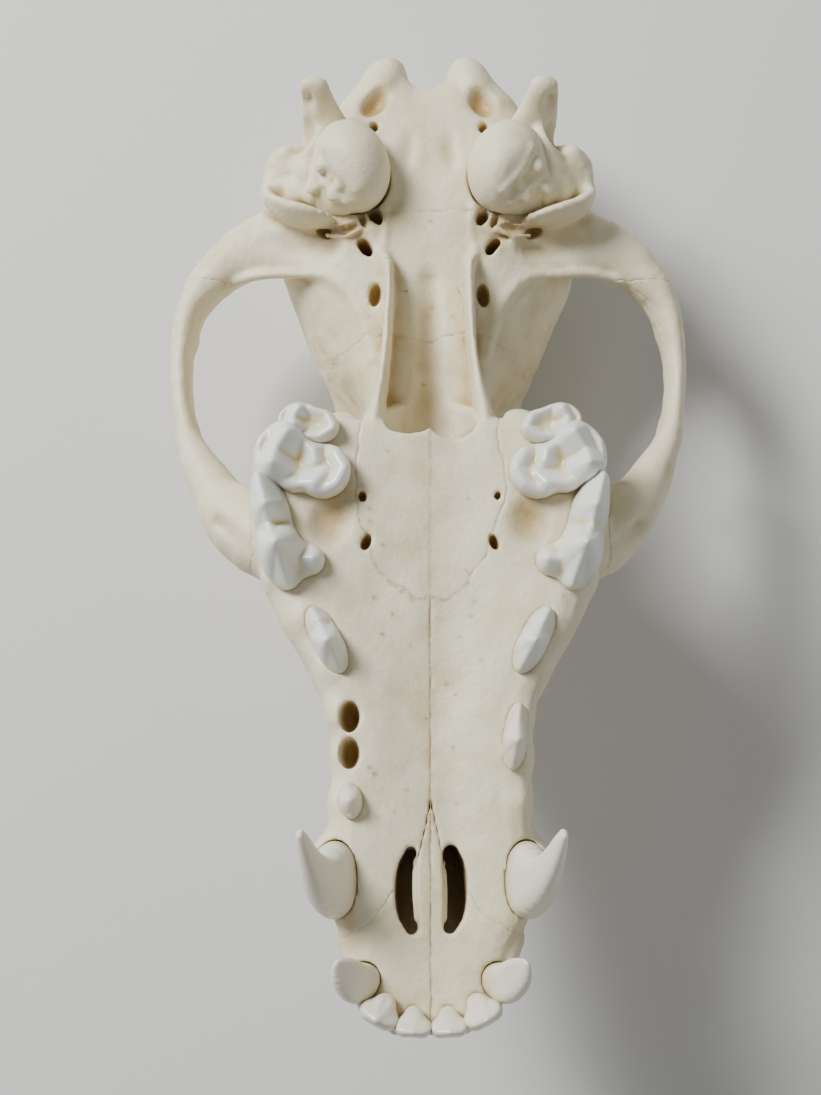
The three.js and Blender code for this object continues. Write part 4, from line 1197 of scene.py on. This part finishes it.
# %% Nodes and colours
def hex_colour(text):
    """An sRGB hex value as linear RGBA."""
    parts = [int(text[i : i + 2], 16) / 255 for i in (1, 3, 5)]
    return (*[p / 12.92 if p <= 0.04045 else ((p + 0.055) / 1.055) ** 2.4 for p in parts], 1.0)


def add_node(material, kind, settings=None, **inputs):
    """Adds one shader node. Settings are its properties, and inputs are values or other nodes' sockets."""
    node = material.node_tree.nodes.new(kind)
    for key, value in (settings or {}).items():
        setattr(node, key, value)
    for key, value in inputs.items():
        numbered = key[0] == "i" and key[1:].isdigit()
        socket = node.inputs[int(key[1:]) if numbered else key.replace("_", " ")]
        if isinstance(value, bpy.types.NodeSocket):
            material.node_tree.links.new(value, socket)
        else:
            socket.default_value = value
    return node


def lay_tints(material, numbers, colour, tints):
    """Lays tints over a colour, each by the product of its ramps over named numbers."""
    for tint, ramps in tints:
        share = None
        for name, from_low, from_high, to_low, to_high in ramps:
            ends = {"From_Min": from_low, "From_Max": from_high, "To_Min": to_low, "To_Max": to_high}
            ramp = add_node(material, "ShaderNodeMapRange", None, Value=numbers[name], **ends).outputs[0]
            if share is not None:
                product = {"operation": "MULTIPLY"}
                ramp = add_node(material, "ShaderNodeMath", product, i0=share, i1=ramp).outputs[0]
            share = ramp
        ends = {"i0": share, "i6": colour, "i7": hex_colour(tint)}
        colour = add_node(material, "ShaderNodeMix", {"data_type": "RGBA"}, **ends).outputs[2]
    return colour


def blank_material(name, constants):
    """A new material with its main shader's constants set."""
    material = bpy.data.materials.new(name)
    material.use_nodes = True
    shader = material.node_tree.nodes["Principled BSDF"]
    for key, value in constants.items():
        shader.inputs[key].default_value = value
    return material, shader


print("ivory in linear light", [round(v, 3) for v in hex_colour("#EAE4CC")[:3]])

# %% [markdown]
# Bone that was degreased and dried in the sun is a matt, slightly see-through mineral: light sinks in a
# little and comes out warm, so it gets some subsurface scattering and a broad soft gloss. Four cloudy
# patterns break it up. The blotches and patches have the size of the real ones. Real fibres and pores are a
# tenth of a millimetre across, too fine to show, so they are drawn as coarse as they need to be.

# %% Bone
IVORY, YELLOWED, MOTTLE = "#EAE4CC", "#DFD5B2", "#CFC08F"
# The middle colour below tints hollows and creases: partly dirt, partly painted shade
STAIN, CREASE_DIRT_AND_PAINTED_SHADE, SEAM_DIRT = "#A98A50", "#B5965A", "#9C8452"
# Painted shade in holes and recesses: brown on their walls, near black deepest inside
PAINTED_SHADE_INNER_WALL, PAINTED_SHADE_INNERMOST = "#86653C", "#37190F"
# Each pattern's size in millimetres, and its detail. Real fibres and pores would be about 0.1
PATTERNS = {"blotch": (22.2, 4.0), "patch": (5.88, 6.0), "fibre": (1.11, 4.0), "pore": (0.385, 2.0)}
BONE_TINTS = [
    (YELLOWED, [("blotch", 0.0, 1.0, 0.0, 1.0)]),
    (MOTTLE, [("patch", 0.48, 0.72, 0.0, 0.5)]),
    (STAIN, [("stain", 0.0, 2.0, 0.0, 2.0), ("patch", 0.3, 0.65, 0.45, 1.15)]),
    # Hollows and creases: partly dirt, partly painted shade
    (CREASE_DIRT_AND_PAINTED_SHADE, [("hollow", 0.02, 0.42, 0.0, 0.95)]),
    (SEAM_DIRT, [("seam", 0.0, 0.25, 0.6, 0.0), ("fibre", 0.4, 0.58, 0.15, 1.0)]),
    # Painted shade by depth inside the core
    (PAINTED_SHADE_INNER_WALL, [("deep", 1.8, 4.5, 0.0, 0.8)]),
    (PAINTED_SHADE_INNERMOST, [("deep", 4.5, 9.0, 0.0, 0.95)]),
]
# The relief of each pattern: its strength, and its height in millimetres
RELIEF = {"patch": (0.35, 0.9), "fibre": (0.4, 0.3), "pit": (0.35, 0.12)}
BONE_SHADER = {
    "Roughness": 0.52,
    "IOR": 1.54,
    "Subsurface Weight": 0.15,
    "Subsurface Radius": (2.2 * MM, 1.4 * MM, 0.8 * MM),
    "Subsurface Scale": 1.0,
}


def clean_bone():
    """Degreased, sun-dried bone: matt, warm ivory, with yellow dirt and painted shade in hollows, painted
    shade in deep holes.
    """
    material, shader = blank_material("degreased_dry_bone", BONE_SHADER)
    numbers = {}
    for name in ("hollow", "seam", "deep", "stain"):
        numbers[name] = add_node(material, "ShaderNodeAttribute", {"attribute_name": name}).outputs["Fac"]
    place = add_node(material, "ShaderNodeTexCoord").outputs["Object"]
    for name, (size, detail) in PATTERNS.items():
        settings = {"Vector": place, "Scale": 1 / (size * MM), "Detail": detail}
        numbers[name] = add_node(material, "ShaderNodeTexNoise", None, **settings).outputs["Fac"]
    pit_ends = {"From_Min": 0.3, "From_Max": 0.42}
    pit = add_node(material, "ShaderNodeMapRange", None, Value=numbers["pore"], **pit_ends)
    numbers["pit"] = pit.outputs["Result"]
    colour = lay_tints(material, numbers, hex_colour(IVORY), BONE_TINTS)
    relief = {}
    for name, (strength, height) in RELIEF.items():
        settings = {"Height": numbers[name], "Strength": strength, "Distance": height * MM, **relief}
        relief = {"Normal": add_node(material, "ShaderNodeBump", None, **settings).outputs["Normal"]}
    material.node_tree.links.new(colour, shader.inputs["Base Color"])
    material.node_tree.links.new(relief["Normal"], shader.inputs["Normal"])
    return material


bone_finish = clean_bone()
for piece in made.values():
    piece.data.materials.append(bone_finish)
print("bone on", len(made), "pieces")

# %% [markdown]
# Enamel is a polished mineral skin, harder, glassier and whiter than bone, so its gloss is tighter and its
# scattering shorter. It is creamier towards the root, where it thins, and yellow stays in its basins. The
# cheek teeth of this skull are whiter than its front teeth, so there are two enamels.

# %% Enamel
ROOT_CREAM, BASIN_YELLOW = "#D0C093", "#D9C277"
CHEEK_CROWN, FRONT_CROWN = "#E3E5DF", "#E4DFCE"
WHITER_TEETH = ("premolar_4", "molar_1", "molar_2", "premolar_3")
ENAMEL_SHADER = {
    "Roughness": 0.32,
    "IOR": 1.62,
    "Subsurface Weight": 0.2,
    "Subsurface Radius": (1.6 * MM, 1.3 * MM, 1.0 * MM),
    "Subsurface Scale": 1.0,
}


def enamel(name, crown_colour):
    """Dry tooth enamel: glassy and white at the crown, creamy towards the root."""
    material, shader = blank_material(name, ENAMEL_SHADER)
    numbers = {}
    for name in ("height", "hollow"):
        numbers[name] = add_node(material, "ShaderNodeAttribute", {"attribute_name": name}).outputs["Fac"]
    tints = [
        (crown_colour, [("height", -1.0, 3.5, 0.0, 1.0)]),
        (BASIN_YELLOW, [("hollow", 0.0, 0.3, 0.0, 0.8)]),
    ]
    colour = lay_tints(material, numbers, hex_colour(ROOT_CREAM), tints)
    material.node_tree.links.new(colour, shader.inputs["Base Color"])
    return material


cheek_finish = enamel("dry_cheek_tooth_enamel", CHEEK_CROWN)
front_finish = enamel("dry_ivory_tooth_enamel", FRONT_CROWN)
for piece in enamel_pieces:
    piece.data.materials.append(cheek_finish if piece.name.startswith(WHITER_TEETH) else front_finish)
print("enamel on", len(enamel_pieces), "teeth")

# %% [markdown]
# A plain pale floor of matt paper, and soft studio light: a key light from the upper left of the picture, a
# weak fill from the lower right and a dim even sky. Sunlight would give hard edges to the shadows. A square
# lamp's edge length sets how soft they are, and its distance how fast the light falls off along the skull.

# %% Floor and light
FLOOR_REACH = 3.0
floor_mesh = bpy.data.meshes.new("floor")
floor_corners = [(x * FLOOR_REACH, y * FLOOR_REACH, 0) for x, y in ((-1, -1), (1, -1), (1, 1), (-1, 1))]
floor_mesh.from_pydata(floor_corners, [], [(0, 1, 2, 3)])
floor = bpy.data.objects.new("floor", floor_mesh)
bpy.context.scene.collection.objects.link(floor)
PAPER_SHADER = {"Base Color": hex_colour("#D9D9D6"), "Roughness": 0.9}
floor_mesh.materials.append(blank_material("pale_matt_paper", PAPER_SHADER)[0])
floor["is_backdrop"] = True


def soft_box(name, place, aim, size, watts):
    """A square lamp that faces a point."""
    lamp = bpy.data.lights.new(name, "AREA")
    lamp.size, lamp.energy = size, watts
    holder = bpy.data.objects.new(name, lamp)
    bpy.context.scene.collection.objects.link(holder)
    holder.location = place
    holder.rotation_euler = (Vector(aim) - Vector(place)).to_track_quat("-Z", "Y").to_euler()


SKULL_MIDDLE = (0, 0, 0.05)
SKY_STRENGTH = 0.2
soft_box("key_light", (-0.55, 0.45, 0.62), SKULL_MIDDLE, 0.32, 14.5)
soft_box("fill_light", (0.7, -0.3, 0.6), SKULL_MIDDLE, 0.8, 1.6)
world = bpy.data.worlds.new("studio")
bpy.context.scene.world = world
world.use_nodes = True
world.node_tree.nodes["Background"].inputs["Color"].default_value = (1, 1, 1, 1)
world.node_tree.nodes["Background"].inputs["Strength"].default_value = SKY_STRENGTH
print("floor and lights placed")

# %% [markdown]
# The camera looks down on the palate. It leans a few degrees towards the snout, as in the photograph, and
# stands about a third of a metre from the bone. Its focal length is worked out in pixels of the photograph.

# %% Camera
VIEW_LEAN = math.radians(11.0)
AIM = np.array([-3.4, 81.5, 0.0])
DISTANCE = 336.0
FOCAL_PIXELS, FRAME_HEIGHT, SENSOR = 1943, 1095, 36.0
toward = np.array([0.0, -math.sin(VIEW_LEAN), math.cos(VIEW_LEAN)])
eye, aim = to_world(np.stack([AIM + toward * DISTANCE, AIM]))
lens = bpy.data.cameras.new("camera")
lens.sensor_width = SENSOR
lens.lens = FOCAL_PIXELS / FRAME_HEIGHT * SENSOR
camera = bpy.data.objects.new("camera", lens)
bpy.context.scene.collection.objects.link(camera)
camera.location = eye
camera.rotation_euler = Vector(aim - eye).to_track_quat("-Z", "Y").to_euler()
lens.clip_start, lens.clip_end = 0.01, 20
bpy.context.scene.camera = camera
print("camera", [round(float(v), 3) for v in eye], "lens", round(lens.lens, 1))

# %% [markdown]
# The box round every shown piece except the floor is measured and printed in millimetres.

# %% Measure and finish
low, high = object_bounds()
print("visual box in mm", [round(v / MM, 1) for v in (*low, *high)])
